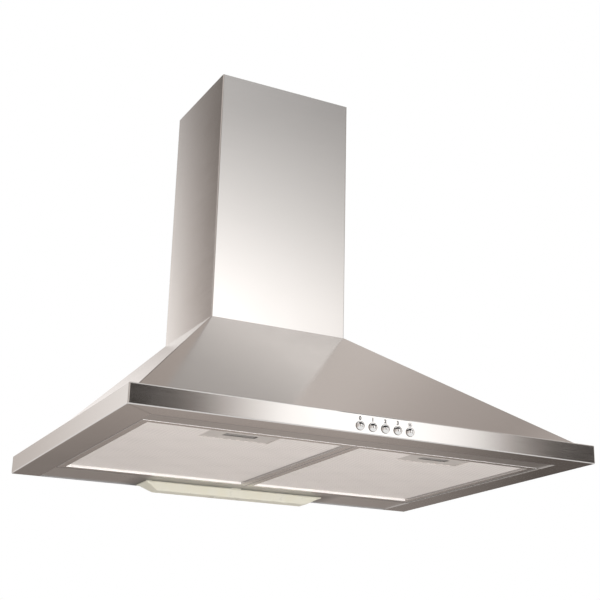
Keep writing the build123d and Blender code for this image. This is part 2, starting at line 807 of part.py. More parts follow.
def lamp_bulb():
    """Candle bulb on its cap."""
    axis = lamp_axis()
    base = axis.origin + axis.z_dir * (socket_length + 2)
    profile = Plane(origin=base, x_dir=(1, 0, 0), z_dir=(0, -1, 0))
    widest = bulb_length * 0.38
    first = Line((0, 0), (0, cap_radius))
    belly = Spline((0, cap_radius), (widest, bulb_radius), (bulb_length, 0), tangents=[(1, 0.9), (0.15, -1)])
    close = Line((bulb_length, 0), (0, 0))
    return revolve(profile * make_face([first, belly, close]), Axis(base, (1, 0, 0)))


# ---------------------------------------------------------------- fan
def scroll_outline(grow):
    """The scroll's outline: three quarter arcs about the corners of a small square, and the outlet."""
    step = scroll_step
    radius = scroll_radius + grow
    top = top_plate_low - fan_height
    near = tongue_offset - grow
    corner = tongue_radius - grow
    roof = radius - step / 2
    far = radius + 2.5 * step
    first = (-step / 2, -step / 2)
    front = (first[0] - radius, first[1])
    second = (step / 2, -step / 2)
    bottom = (second[0], second[1] - radius - step)
    third = (step / 2, step / 2)
    lines = [
        Line((near, top), (near, roof + corner)),
        CenterArc((near - corner, roof + corner), corner, 0, -90),
        Line((near - corner, roof), (first[0], roof)),
        CenterArc(first, radius, 90, 90),
        CenterArc(second, radius + step, 180, 90),
        CenterArc(third, radius + 2 * step, 270, 90),
        Line((far, third[1]), (far, top)),
        Line((far, top), (near, top)),
    ]
    return make_face(lines)


def lug_places():
    """Centres of the screw lugs round the scroll."""
    out = scroll_wall + lug_radius * 0.8
    step = scroll_step
    arcs = [(-step / 2, -step / 2, 0, 135), (step / 2, -step / 2, 1, 225), (step / 2, step / 2, 2, 315)]
    places = []
    for x, y, quarter, angle in arcs:
        reach = scroll_radius + quarter * step + out
        places.append((x + reach * cos(radians(angle)), y + reach * sin(radians(angle))))
    places.append((scroll_reach + out, (top_plate_low - fan_height) / 2))
    return places


def inlet_bell():
    """Flared ring of an inlet, turned about the shaft's axis."""
    face = scroll_width / 2
    flare = inlet_flare
    centre = (face - flare, inlet_radius + flare)
    turn = cos(radians(45))
    inner = flare - scroll_wall
    outside = (centre[0] + flare * turn, centre[1] - flare * turn)
    inside = (centre[0] + inner * turn, centre[1] - inner * turn)
    throat = (centre[0], inlet_radius)
    throat_back = (centre[0], inlet_radius + scroll_wall)
    lines = [
        ThreePointArc((face, centre[1]), outside, throat),
        Line(throat, throat_back),
        ThreePointArc(throat_back, inside, (face - scroll_wall, centre[1])),
        Line((face - scroll_wall, centre[1]), (face, centre[1])),
    ]
    section = Plane(origin=fan_plane.origin, x_dir=(1, 0, 0), z_dir=(0, -1, 0))
    return revolve(section * make_face(lines), Axis(fan_plane.origin, (1, 0, 0)))


def mount_places():
    """Where the motor mount's bushes stand, round the shaft."""
    return [(mount_circle * cos(radians(a)), mount_circle * sin(radians(a))) for a in (30, 150, 270)]


def outlet_screw_places():
    """Corners of the outlet flange, the top plate and the collar's base."""
    reach = outlet_flange / 2 - screw_head - sheet * 2
    return [(x, outlet_y + y) for x in (-reach, reach) for y in (-reach, reach)]


def scroll_half(side):
    """One half of the scroll, split at its middle, with its inlet, lugs and outlet flange."""
    half_scroll = scroll_width / 2
    body = extrude(fan_plane * scroll_outline(scroll_wall), half_scroll)
    body -= extrude(fan_plane * scroll_outline(0), half_scroll - scroll_wall)
    body -= disc(fan_plane, inlet_radius + inlet_flare, 0, half_scroll + past)
    for place in lug_places():
        body += disc(fan_plane, lug_radius, 0, lug_length, place)
    reach = outlet_flange / 2
    flange_z = (top_plate_low - outlet_flange_wall, top_plate_low)
    flange = block((0, reach), (outlet_y - reach, outlet_y + reach), flange_z)
    body += flange
    body -= extrude(fan_plane * scroll_outline(0), half_scroll - scroll_wall)
    body += inlet_bell()
    for place in lug_places():
        body -= disc(fan_plane, screw_radius + screw_clearance, -past, lug_length + past, place)
    for place in outlet_screw_places():
        body -= screw_hole(Plane.XY.offset(top_plate_low), place)
    if side < 0:
        return mirrored(body)
    for place in mount_places():
        body -= disc(fan_plane, screw_radius + screw_clearance, half_scroll - past, half_scroll + past, place)
    return body


def blade(angle):
    """One forward-curved blade, square to the fan plane."""
    inner = impeller_radius - blade_depth
    outer = impeller_radius - sheet / 2
    middle = (inner + outer) / 2
    face = make_face(
        [
            ThreePointArc((inner, 0), (middle, blade_bow), (outer, 0)),
            Line((outer, 0), (outer, blade_wall)),
            ThreePointArc((outer, blade_wall), (middle, blade_bow + blade_wall), (inner, blade_wall)),
            Line((inner, blade_wall), (inner, 0)),
        ]
    )
    half = impeller_width / 2 - impeller_ring
    return extrude(fan_plane.offset(-half) * Rot(0, 0, angle) * face, 2 * half)


def impeller_blades():
    """The wheel's blades, between its end rings."""
    return [blade(360 / blade_count * i) for i in range(blade_count)]


def impeller_rings():
    """The two end rings that hold the blades."""
    half = impeller_width / 2
    inner = impeller_radius - blade_depth - sheet / 2
    lows = (-half, half - impeller_ring)
    return [ring(fan_plane, impeller_radius, inner, low, low + impeller_ring) for low in lows]


def impeller_hub(blades):
    """Middle disc, notched for the blades, with its hub on the shaft."""
    wheel = disc(fan_plane, impeller_radius - blade_depth / 2, -impeller_disc / 2, impeller_disc / 2)
    wheel += disc(fan_plane, hub_radius, -hub_length / 2, hub_length / 2)
    wheel = wheel.cut(*blades)
    return wheel - disc(fan_plane, shaft_radius, -hub_length, hub_length)


def motor_pieces():
    """Caps, stator, rotor, shaft and bearings of the motor, along the shaft."""
    front = motor_start
    stator = front + motor_cap
    rear = stator + stator_length
    end = rear + rear_cap_length
    seat = scroll_width / 2 + bush_height + mount_wall
    core = rotor_radius + free
    boss = bearing_radius + 3 * sheet
    neck = motor_radius - 3 * sheet
    front_cap = turned(fan_plane, [
        (front, 0), (front, boss), (front + 3, boss + 3), (front + 5, neck), (stator, motor_radius), (stator, 0),
    ])
    front_cap -= disc(fan_plane, bearing_radius, front + sheet, stator + past)
    front_cap -= disc(fan_plane, core, front + sheet + bearing_width, stator + past)
    front_cap -= disc(fan_plane, shaft_radius + free, 0, front + past)
    rear_cap = turned(fan_plane, [
        (rear, 0), (rear, motor_radius), (end - 5, neck), (end - 3, boss + 3), (end, boss), (end, 0),
    ])
    rear_cap += disc(fan_plane, motor_flange_radius, seat, seat + motor_flange_wall)
    rear_cap -= disc(fan_plane, bearing_radius, rear - past, end - sheet)
    rear_cap -= disc(fan_plane, core, rear - past, end - sheet - bearing_width)
    stator_ring = ring(fan_plane, motor_radius, core, stator, rear)
    bearings = [
        ring(fan_plane, bearing_radius, shaft_radius + running, front + sheet, front + sheet + bearing_width),
        ring(fan_plane, bearing_radius, shaft_radius + running, end - sheet - bearing_width, end - sheet),
    ]
    shaft = disc(fan_plane, shaft_radius, -hub_length / 2 - 3, end - sheet - free)
    middle = (stator + rear) / 2
    rotor = ring(fan_plane, rotor_radius, shaft_radius, middle - rotor_length / 2, middle + rotor_length / 2)
    return {
        "motor_front_cap": [front_cap],
        "motor_rear_cap": [rear_cap],
        "motor_stator": [stator_ring],
        "motor_bearings": bearings,
        "motor_shaft": [shaft],
        "motor_rotor": [rotor],
    }


def motor_mount():
    """Ring round the motor on three arms, which stand on rubber bushes."""
    low = scroll_width / 2 + bush_height
    high = low + mount_wall
    inner = motor_radius + screw_clearance
    mount = disc(fan_plane, inner + mount_ring, low, high)
    for x, y in mount_places():
        reach = hypot(x, y)
        turn = Rot(0, 0, Vector(1, 0).get_signed_angle(Vector(x, y), Vector(0, 0, 1)))
        arm = Pos(reach / 2, 0) * Rectangle(reach, mount_arm)
        mount += extrude(fan_plane.offset(low) * turn * arm, mount_wall)
        mount += disc(fan_plane, mount_arm / 2, low, high, (x, y))
    mount -= disc(fan_plane, inner, low - past, high + past)
    for place in mount_places():
        mount -= disc(fan_plane, screw_radius + screw_clearance, low - past, high + past, place)
    return mount


# ---------------------------------------------------------------- top plate, collar and flaps
def top_plate():
    """Plate under the canopy's seat, which the fan hangs from."""
    half = neck_half - top_plate_inset
    front = top_plate_inset - chimney_depth
    plate = block((-half, half), (front, -2 * sheet), (top_plate_low, top_plate_top))
    level = Plane.XY.offset(top_plate_low)
    hole = outlet_hole / 2
    through = (top_plate_low - past, top_plate_top + past)
    plate -= block((-hole, hole), (outlet_y - hole, outlet_y + hole), through)
    plate -= disc(level, gland_thread + screw_clearance, -past, past, (gland_x, gland_y))
    for place in outlet_screw_places():
        plate -= screw_hole(level, place)
    for side in (-1, 1):
        for y in chimney_screw_rows():
            plate -= screw_hole(level, (side * chimney_screw_x(), y))
    return plate


def outlet_collar():
    """Round spigot for the duct, with a square base, a ledge for the flaps and the pin's holes."""
    base = Plane.XY.offset(top_plate_top)
    half = collar_base / 2
    inner = collar_radius - collar_wall
    base_z = (top_plate_top, top_plate_top + collar_base_wall)
    collar = block((-half, half), (outlet_y - half, outlet_y + half), base_z)
    collar = fillet(collar.edges().filter_by(Axis.Z), 4.0)
    at = (0, outlet_y)
    collar += disc(base, collar_radius, 0, collar_base_wall + collar_height, at)
    ledge_top = collar_base_wall + flap_height - flap_wall / 2 - free
    collar -= disc(base, inner, ledge_top, collar_base_wall + collar_height + past, at)
    collar -= disc(base, inner - flap_ledge, -past, collar_base_wall + collar_height, at)
    for place in outlet_screw_places():
        collar -= screw_hole(base, place)
    return collar - disc(flap_axis(), flap_pin_radius, -collar_radius - past, collar_radius + past)


def flap_axis():
    """Plane across the flaps' pin, at the middle of the collar."""
    z = top_plate_top + collar_base_wall + flap_height
    return Plane(origin=(0, outlet_y, z), x_dir=(0, 1, 0), z_dir=(1, 0, 0))


def flap(side):
    """One half-moon flap with its share of the knuckles on the pin."""
    axis = flap_axis()
    radius = collar_radius - collar_wall - 2 * free
    level = Plane.XY.offset(axis.origin.Z - flap_wall / 2)
    moon = extrude(level * Pos(0, outlet_y) * Circle(radius), flap_wall)
    clear = flap_knuckle_radius + free
    keep_y = sorted((outlet_y + side * clear, outlet_y + side * hood_depth))
    moon &= block((-hood_width, hood_width), keep_y, (0, hood_depth))
    span = 2 * (radius - 2 * flap_knuckle_radius) / flap_knuckles
    for i in range(flap_knuckles):
        if (i % 2 == 0) != (side > 0):
            continue
        low = (i - flap_knuckles / 2) * span + free
        high = low + span - 2 * free
        web_y = sorted((outlet_y, outlet_y + side * (clear + sheet)))
        moon += block((low, high), web_y, (axis.origin.Z - flap_wall / 2, axis.origin.Z + flap_wall / 2))
        moon += disc(axis, flap_knuckle_radius, low, high)
    return moon - disc(axis, flap_pin_radius + running, -collar_radius, collar_radius)


def flap_pin():
    """Pin across the collar, flush with its outside."""
    reach = collar_radius - collar_wall / 2
    return disc(flap_axis(), flap_pin_radius, -reach, reach)


# ---------------------------------------------------------------- electrical parts
def capacitor_plane():
    """Level plane at the run capacitor's lower end."""
    return Plane.XY.offset(capacitor_z)


def capacitor_at():
    """The capacitor's axis, against its clip on the back panel."""
    return capacitor_x, -sheet - clip_wall - capacitor_radius


def run_capacitor():
    """Round capacitor with a rounded foot."""
    body = disc(capacitor_plane(), capacitor_radius, 0, capacitor_length, capacitor_at())
    return fillet(body.faces().sort_by(Axis.Z)[0].edges(), 2.0)


def capacitor_clip():
    """Band round the capacitor with two ears, welded to the back panel."""
    low = (capacitor_length - clip_width) / 2
    outer = capacitor_radius + clip_wall
    x, y = capacitor_at()
    z = (capacitor_z + low, capacitor_z + low + clip_width)
    clip = disc(capacitor_plane(), outer, low, low + clip_width, (x, y))
    reach = outer + clip_ear
    clip += block((x - reach, x + reach), (-sheet - clip_wall, -sheet), z)
    return clip - disc(capacitor_plane(), capacitor_radius, -past, capacitor_length, (x, y))


def terminal_limits():
    """Limits of the terminal box across and upwards."""
    x = (terminal_x - terminal_width / 2, terminal_x + terminal_width / 2)
    return x, (terminal_z, terminal_z + terminal_height)


def terminal_box():
    """Open box on the back panel, with its terminal rail inside."""
    x, z = terminal_limits()
    w = terminal_wall
    back = -sheet
    box = block(x, (back - terminal_depth, back), z)
    box = fillet(box.edges().filter_by(Axis.Y), 3.0)
    box -= block((x[0] + w, x[1] - w), (back - terminal_depth - past, back - w), (z[0] + w, z[1] - w))
    middle = (z[0] + z[1]) / 2
    rail_y = (back - terminal_depth * 0.6, back - w)
    box += block((x[0] + 3 * w, x[1] - 3 * w), rail_y, (middle - 3 * w, middle + 3 * w))
    for side in (-1, 1):
        at = terminal_screw_at(side)
        box += disc(wall_plane, screw_radius + w, w / 2 - back, terminal_depth - back, at)
        box -= disc(wall_plane, screw_radius, terminal_depth / 2, terminal_depth + past, at)
    return box


def terminal_lid():
    """Flat lid with rounded corners."""
    x, z = terminal_limits()
    front = -sheet - terminal_depth
    lid = block(x, (front - lid_wall, front), z)
    lid = fillet(lid.edges().filter_by(Axis.Y), 3.0)
    for side in (-1, 1):
        lid -= disc(wall_plane, screw_radius + screw_clearance, 0, hood_depth / 2, terminal_screw_at(side))
    return lid


def terminal_screw_at(side):
    """Place of a lid screw, left or right."""
    inset = 2.5 * terminal_wall
    return terminal_x + side * (terminal_width / 2 - inset), terminal_z + inset


def terminal_screws():
    """The two lid screws."""
    plane = wall_plane.offset(sheet + terminal_depth + lid_wall)
    return [screw(plane, terminal_screw_at(side), case_screw_length) for side in (-1, 1)]


def cable_gland():
    """Gland in the top plate, through which the mains lead would enter the chimney."""
    level = Plane.XY.offset(top_plate_top)
    at = (gland_x, gland_y)
    gland = disc(level, gland_thread, -sheet - gland_nut, gland_height, at)
    gland += disc(level, gland_flange, 0, gland_height / 3, at)
    gland += extrude(level.offset(-sheet - gland_nut) * Pos(*at) * RegularPolygon(gland_flange, 6), gland_nut)
    return gland - disc(level, gland_bore, -past - gland_nut * 2, gland_height + past, at)


def lead(*points):
    """A round lead along straight runs joined by arcs."""
    path = FilletPolyline(*points, radius=lead_bend) if len(points) > 2 else Line(*points)
    return sweep(Plane(origin=path @ 0, z_dir=path % 0) * Circle(lead_radius), path=path)


def inner_leads():
    """Leads from the terminal box to the switch, the lamp box and the motor, and one to the capacitor."""
    (left, right), (low, high) = terminal_limits()
    depth = -sheet - terminal_depth / 2
    on_floor = floor_top + lead_radius + screw_clearance
    side_x = opening_half + sheet + 2 * lead_radius
    level = low + 2 * lead_radius + past
    lamp_top = floor_top + lamp_box_height
    switch_x = button_places[-1] + switch_margin
    switch_y = switch_front() + switch_depth - 2 * lead_radius + screw_clearance
    to_switch = [(right, depth, level), (right + lead_run, depth, level)]
    to_switch += [(side_x, depth - lead_run, on_floor), (side_x, switch_y, on_floor)]
    to_switch += [(switch_x, switch_y, on_floor)]
    far_x = -lamp_box_length / 2 + 4 * lead_radius
    far_lamp = [(left, depth, level), (far_x, depth, level), (far_x, depth, lamp_top)]
    near_lamp = [(left + 4 * lead_radius, depth, low), (left + 4 * lead_radius, depth, lamp_top)]
    motor_end = motor_start + motor_cap + stator_length + rear_cap_length
    motor_y = fan_y + bearing_radius - lead_radius
    to_motor = [(terminal_x, depth, high), (terminal_x, depth, fan_height + lead_bend)]
    to_motor += [(terminal_x, motor_y, fan_height), (motor_end, motor_y, fan_height)]
    cap_x, cap_y = capacitor_at()
    cap_top = capacitor_z + capacitor_length
    over = cap_top + 1.5 * lead_bend
    near = left + 4 * lead_radius
    to_capacitor = [(cap_x, cap_y, cap_top), (cap_x, cap_y, over), (near, cap_y, over), (near, cap_y, high)]
    return [lead(*points) for points in (to_switch, far_lamp, near_lamp, to_motor, to_capacitor)]


# ---------------------------------------------------------------- all parts
parts = {
    "rim_band": [rim_band()],
    "canopy_shell": [canopy_shell()],
    "back_panel": [back_panel()],
    "chimney_lower": [chimney_lower()],
    "chimney_upper": [chimney_upper()],
    "chimney_bracket": [chimney_bracket()],
    "floor_frame": [floor_frame()],
    "filter_rail": [filter_rail()],
    "switch_block": [switch_block()],
    "switch_bracket": [switch_bracket()],
    "lamp_lens": [lamp_lens()],
    "lens_hinges": [lens_hinge(-1), lens_hinge(1)],
    "lamp_box": [lamp_box()],
    "lamp_sockets": both_sides(lamp_socket()),
    "lamp_caps": both_sides(lamp_cap()),
    "lamp_bulbs": both_sides(lamp_bulb()),
    "fan_scroll_right": [scroll_half(1)],
    "fan_scroll_left": [scroll_half(-1)],
    "motor_mount": [motor_mount()],
    "top_plate": [top_plate()],
    "outlet_collar": [outlet_collar()],
    "flap_pin": [flap_pin()],
    "flap_front": [flap(-1)],
    "flap_rear": [flap(1)],
    "run_capacitor": [run_capacitor()],
    "capacitor_clip": [capacitor_clip()],
    "terminal_box": [terminal_box()],
    "terminal_lid": [terminal_lid()],
    "inner_leads": inner_leads(),
    "cable_gland": [cable_gland()],
}
parts.update(motor_pieces())
blades = impeller_blades()
parts["impeller_blades"] = blades
parts["impeller_rings"] = impeller_rings()
parts["impeller_hub"] = [impeller_hub(blades)]

for name, x in zip(button_names, button_places):
    parts[f"button_{name}"] = [push_button(x)]

right_filter = {
    "border": filter_border(),
    "mesh": filter_mesh(),
    "handle_plate": handle_plate(),
    "handle_cup": handle_cup(),
    "latch": latch_slide(),
    "latch_spring": latch_spring(),
}
for name, piece in right_filter.items():
    parts[f"filter_right_{name}"] = [piece]
    parts[f"filter_left_{name}"] = [mirrored(piece)]

bush_low = scroll_width / 2
bush_high = bush_low + bush_height
mount_top = fan_plane.offset(bush_high + mount_wall)
bush_bore = screw_radius + screw_clearance
bushes = [ring(fan_plane, bush_radius, bush_bore, bush_low, bush_high, at) for at in mount_places()]
parts["motor_bushes"] = bushes
motor_screw_length = mount_wall + bush_height + 2 * scroll_wall
parts["motor_screws"] = [screw(mount_top, at, motor_screw_length) for at in mount_places()]
lug_top = fan_plane.offset(lug_length)
parts["scroll_screws"] = [screw(lug_top, at, 2 * lug_length) for at in lug_places()]
collar_top = Plane.XY.offset(top_plate_top + collar_base_wall)
collar_screws = [screw(collar_top, at, case_screw_length) for at in outlet_screw_places()]
foot_top = Plane.XY.offset(canopy_height + sheet)
feet = [(side * chimney_screw_x(), y) for side in (-1, 1) for y in chimney_screw_rows()]
chimney_screws = [screw(foot_top, at, case_screw_length) for at in feet]
parts["case_screws"] = [*terminal_screws(), *switch_screws(), *collar_screws, *chimney_screws]

for name, pieces in parts.items():
    save(name, *pieces)
print(len(parts), "parts written")
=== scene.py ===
"""Finishes, marks, studio and camera for the chimney range hood, built on its CAD frame."""

import logging
import math
from dataclasses import dataclass, field
from enum import Enum
from typing import Any, Union

import bmesh
import bpy
from mathutils import Euler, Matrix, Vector


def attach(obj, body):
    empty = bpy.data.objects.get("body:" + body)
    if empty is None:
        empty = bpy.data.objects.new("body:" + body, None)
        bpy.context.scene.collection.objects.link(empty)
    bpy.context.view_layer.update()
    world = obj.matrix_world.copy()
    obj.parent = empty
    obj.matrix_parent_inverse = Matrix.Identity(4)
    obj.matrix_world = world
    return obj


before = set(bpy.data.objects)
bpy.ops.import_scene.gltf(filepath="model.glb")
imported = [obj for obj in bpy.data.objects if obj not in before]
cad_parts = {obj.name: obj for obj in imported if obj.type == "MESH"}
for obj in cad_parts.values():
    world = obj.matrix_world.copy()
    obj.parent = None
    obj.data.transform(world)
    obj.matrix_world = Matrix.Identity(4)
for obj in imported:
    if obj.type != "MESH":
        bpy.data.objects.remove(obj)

LOG = logging.getLogger("range_hood")

Colour = tuple[float, float, float]
Point = tuple[float, float, float]
Span = tuple[float, float]
Term = Union["Wire", float, int, Colour]

NOISE_SPAN: Span = (0.3, 0.7)  # nearly all of the noise lies between these


class Wire:
    """One output of a node. Python's operators on it add the nodes that work them out."""

    def __init__(self, graph: "Graph", socket: bpy.types.NodeSocket) -> None:
        """Wraps a socket.

        Args:
            graph: The material's graph.
            socket: The output that this wire carries.
        """
        self.graph = graph
        self.socket = socket

    def join(self, operation: str, left: Term, right: Term) -> "Wire":
        """Adds the node that works out one operation.

        Args:
            operation: ADD, SUBTRACT, MULTIPLY, DIVIDE and the like.
            left: The first value.
            right: The second value.

        Returns:
            The node's result.
        """
        kinds = {term.socket.type for term in (left, right) if isinstance(term, Wire)}
        if "RGBA" in kinds:
            settings = {"data_type": "RGBA", "blend_type": operation, "clamp_factor": True}
            return self.graph.node("ShaderNodeMix", settings, {0: 1.0, 6: left, 7: right}).out(2)
        kind = "ShaderNodeVectorMath" if "VECTOR" in kinds else "ShaderNodeMath"
        return self.graph.node(kind, {"operation": operation}, {0: left, 1: right}).out(0)

    def __add__(self, other: Term) -> "Wire":
        """The sum."""
        return self.join("ADD", self, other)

    def __radd__(self, other: Term) -> "Wire":
        """The sum, with the number first."""
        return self.join("ADD", other, self)

    def __sub__(self, other: Term) -> "Wire":
        """The difference."""
        return self.join("SUBTRACT", self, other)

    def __rsub__(self, other: Term) -> "Wire":
        """The difference, with the number first."""
        return self.join("SUBTRACT", other, self)

    def __mul__(self, other: Term) -> "Wire":
        """The product."""
        return self.join("MULTIPLY", self, other)

    def __rmul__(self, other: Term) -> "Wire":
        """The product, with the number first."""
        return self.join("MULTIPLY", other, self)

    def __truediv__(self, other: Term) -> "Wire":
        """The quotient."""
        return self.join("DIVIDE", self, other)

    def __rtruediv__(self, other: Term) -> "Wire":
        """The quotient, with the number first."""
        return self.join("DIVIDE", other, self)

    def __gt__(self, other: Term) -> "Wire":
        """One where this is the greater, and zero elsewhere."""
        return self.join("GREATER_THAN", self, other)

    def __lt__(self, other: Term) -> "Wire":
        """One where this is the smaller, and zero elsewhere."""
        return self.join("LESS_THAN", self, other)

    def __abs__(self) -> "Wire":
        """The size without its sign."""
        return self.join("ABSOLUTE", self, 0.0)

    def least(self, other: Term) -> "Wire":
        """The smaller of the two."""
        return self.join("MINIMUM", self, other)

    def most(self, other: Term) -> "Wire":
        """The greater of the two."""
        return self.join("MAXIMUM", self, other)

    def fold(self, size: float) -> "Wire":
        """Goes up and down between zero and size."""
        return self.join("PINGPONG", self, size)


class Built:
    """A node that has been added, with its outputs by name or number."""

    def __init__(self, graph: "Graph", node: bpy.types.Node) -> None:
        """Keeps the node.

        Args:
            graph: The material's graph.
            node: The node itself.
        """
        self.graph = graph
        self.node = node

    def out(self, key: Union[int, str] = 0) -> Wire:
        """The output of that name or number."""
        return Wire(self.graph, self.node.outputs[key])


class Graph:
    """The node tree of one material or world."""

    def __init__(self, tree: bpy.types.NodeTree) -> None:
        """Empties the tree.

        Args:
            tree: The tree to build in.
        """
        self.tree = tree
        tree.nodes.clear()

    def node(
        self,
        kind: str,
        settings: dict[str, Any] | None = None,
        sockets: dict[Any, Any] | None = None,
    ) -> Built:
        """Adds a node.

        Args:
            kind: Blender's name of the node type.
            settings: What is set first, such as an operation, or a ramp's stops.
            sockets: Values or wires by the input's name or number.

        Returns:
            The node.
        """
        node = self.tree.nodes.new(kind)
        for name, value in (settings or {}).items():
            if name == "stops":
                self.set_stops(node.color_ramp, value)
            else:
                setattr(node, name, value)
        for key, value in (sockets or {}).items():
            socket = node.inputs[key]
            if isinstance(value, Wire):
                self.tree.links.new(value.socket, socket)
            else:
                socket.default_value = self.fitted(socket, value)
        return Built(self, node)

    @staticmethod
    def fitted(socket: bpy.types.NodeSocket, value: Any) -> Any:
        """A value in the form that the socket takes.

        Args:
            socket: The input.
            value: A number or a tuple.

        Returns:
            The number or tuple, with as many parts as the socket has.
        """
        if socket.type == "RGBA":
            return (*value, 1.0) if isinstance(value, tuple) else (value, value, value, 1.0)
        if socket.type == "VECTOR":
            return value if isinstance(value, tuple) else (value, value, value)
        return value

    @staticmethod
    def set_stops(ramp: bpy.types.ColorRamp, stops: list[tuple[float, Colour]]) -> None:
        """Gives a colour ramp its stops.

        Args:
            ramp: The ramp.
            stops: Place and colour of each stop, in order.
        """
        ramp.elements.remove(ramp.elements[-1])
        ramp.elements[0].position = stops[0][0]
        for place, _ in stops[1:]:
            ramp.elements.new(place)
        for element, (_, colour) in zip(ramp.elements, stops):
            element.color = (*colour, 1.0)

    def place(self) -> Wire:
        """Object coordinates, in metres."""
        return self.node("ShaderNodeTexCoord").out("Object")

    def facing(self) -> Wire:
        """The surface's direction."""
        return self.node("ShaderNodeNewGeometry").out("Normal")

    def parts(self, vector: Wire) -> tuple[Wire, Wire, Wire]:
        """A vector's X, Y and Z."""
        split = self.node("ShaderNodeSeparateXYZ", {}, {0: vector})
        return split.out(0), split.out(1), split.out(2)

    def noise(self, where: Wire, scale: float, detail: float = 3.0, rough: float = 0.5) -> Wire:
        """Smooth noise between zero and one.

        Args:
            where: Coordinates.
            scale: Size of the pattern, in repeats for each unit.
            detail: Number of finer layers.
            rough: Strength of the finer layers.

        Returns:
            The noise.
        """
        sockets = {"Vector": where, "Scale": scale, "Detail": detail, "Roughness": rough}
        return self.node("ShaderNodeTexNoise", {}, sockets).out(0)

    def spread(self, value: Wire, low: float, high: float, span: Span = (0.0, 1.0)) -> Wire:
        """Takes a value from one span to another, held within it.

        Args:
            value: The value.
            low: Result at the span's start.
            high: Result at its end.
            span: Where the value starts and ends.

        Returns:
            The value in its new span.
        """
        sockets = {"Value": value, 1: span[0], 2: span[1], 3: low, 4: high}
        return self.node("ShaderNodeMapRange", {"clamp": True}, sockets).out(0)

    def mix(self, share: Wire, first: Term, second: Term) -> Wire:
        """Mixes two colours.

        Args:
            share: How much of the second, from zero to one.
            first: The first colour.
            second: The second colour.

        Returns:
            The mixed colour.
        """
        sockets = {0: share, 6: first, 7: second}
        return self.node("ShaderNodeMix", {"data_type": "RGBA"}, sockets).out(2)

    def blend(self, share: Wire, first: Term, second: Term) -> Wire:
        """Mixes two numbers.

        Args:
            share: How much of the second, from zero to one.
            first: The first number.
            second: The second number.

        Returns:
            The mixed number.
        """
        sockets = {0: share, 2: first, 3: second}
        return self.node("ShaderNodeMix", {"data_type": "FLOAT"}, sockets).out(0)

    def tint(self, level: Wire) -> Wire:
        """A grey colour of that level."""
        return self.node("ShaderNodeCombineColor", {}, {0: level, 1: level, 2: level}).out(0)

    def bump(self, height: Wire, depth: float, strength: float) -> Wire:
        """Turns a height into a change of the surface's direction.

        Args:
            height: Height between zero and one.
            depth: The height's real size, in metres.
            strength: Share of it that shows.

        Returns:
            The bumped direction.
        """
        sockets = {"Strength": strength, "Distance": depth, "Height": height}
        return self.node("ShaderNodeBump", {}, sockets).out(0)

    def show(self, shader: Built) -> None:
        """Makes a shader the material's surface."""
        self.node("ShaderNodeOutputMaterial", {}, {"Surface": shader.out(0)})


def blank_material(name: str) -> tuple[bpy.types.Material, Graph]:
    """Makes an empty node material.

    Args:
        name: The material's name.

    Returns:
        The material and its graph.
    """
    material = bpy.data.materials.new(name)
    material.use_nodes = True
    return material, Graph(material.node_tree)


def add_object(name: str, data: bpy.types.ID) -> bpy.types.Object:
    """Adds an object to the scene.

    Args:
        name: The object's name.
        data: Its mesh, curve, light or camera.

    Returns:
        The object.
    """
    added = bpy.data.objects.new(name, data)
    bpy.context.scene.collection.objects.link(added)
    return added


class Grain(Enum):
    """Which way a metal was brushed."""

    WRAPPED = "along the front and back, and from front to back on the sides"
    LEVEL = "along the width everywhere"
    TURNED = "round an axis that lies along the width"


@dataclass(frozen=True)
class Finish:
    """A surface: its colour, gloss and small-scale detail."""

    name: str
    colour: Colour
    roughness: float = 0.5
    metallic: float = 0.0
    shader: dict[str, Any] = field(default_factory=dict)

    def material(self) -> bpy.types.Material:
        """Makes the material.

        Returns:
            A node material of this finish.
        """
        material, graph = blank_material(self.name)
        sockets = {"Metallic": self.metallic, **self.shader, **self.surface(graph)}
        graph.show(graph.node("ShaderNodeBsdfPrincipled", {}, sockets))
        material.diffuse_color = (*self.colour, 1.0)
        return material

    def surface(self, graph: Graph) -> dict[str, Wire]:
        """Base Color, Roughness and Normal, which each kind of finish works out in its own way.

        Args:
            graph: The material's graph.

        Returns:
            Wires by the shader's socket.
        """
        raise NotImplementedError

    def shade(self, level: float) -> Colour:
        """The colour, darkened to a share of itself."""
        red, green, blue = self.colour
        return (red * level, green * level, blue * level)

    def uneven(self, graph: Graph, noise: Wire, change: Span) -> Wire:
        """The roughness, a little changed by noise.

        Args:
            graph: The material's graph.
            noise: The noise.
            change: What is added where the noise is low, and where it is high.

        Returns:
            The roughness.
        """
        low, high = change
        return graph.spread(noise, self.roughness + low, self.roughness + high, NOISE_SPAN)


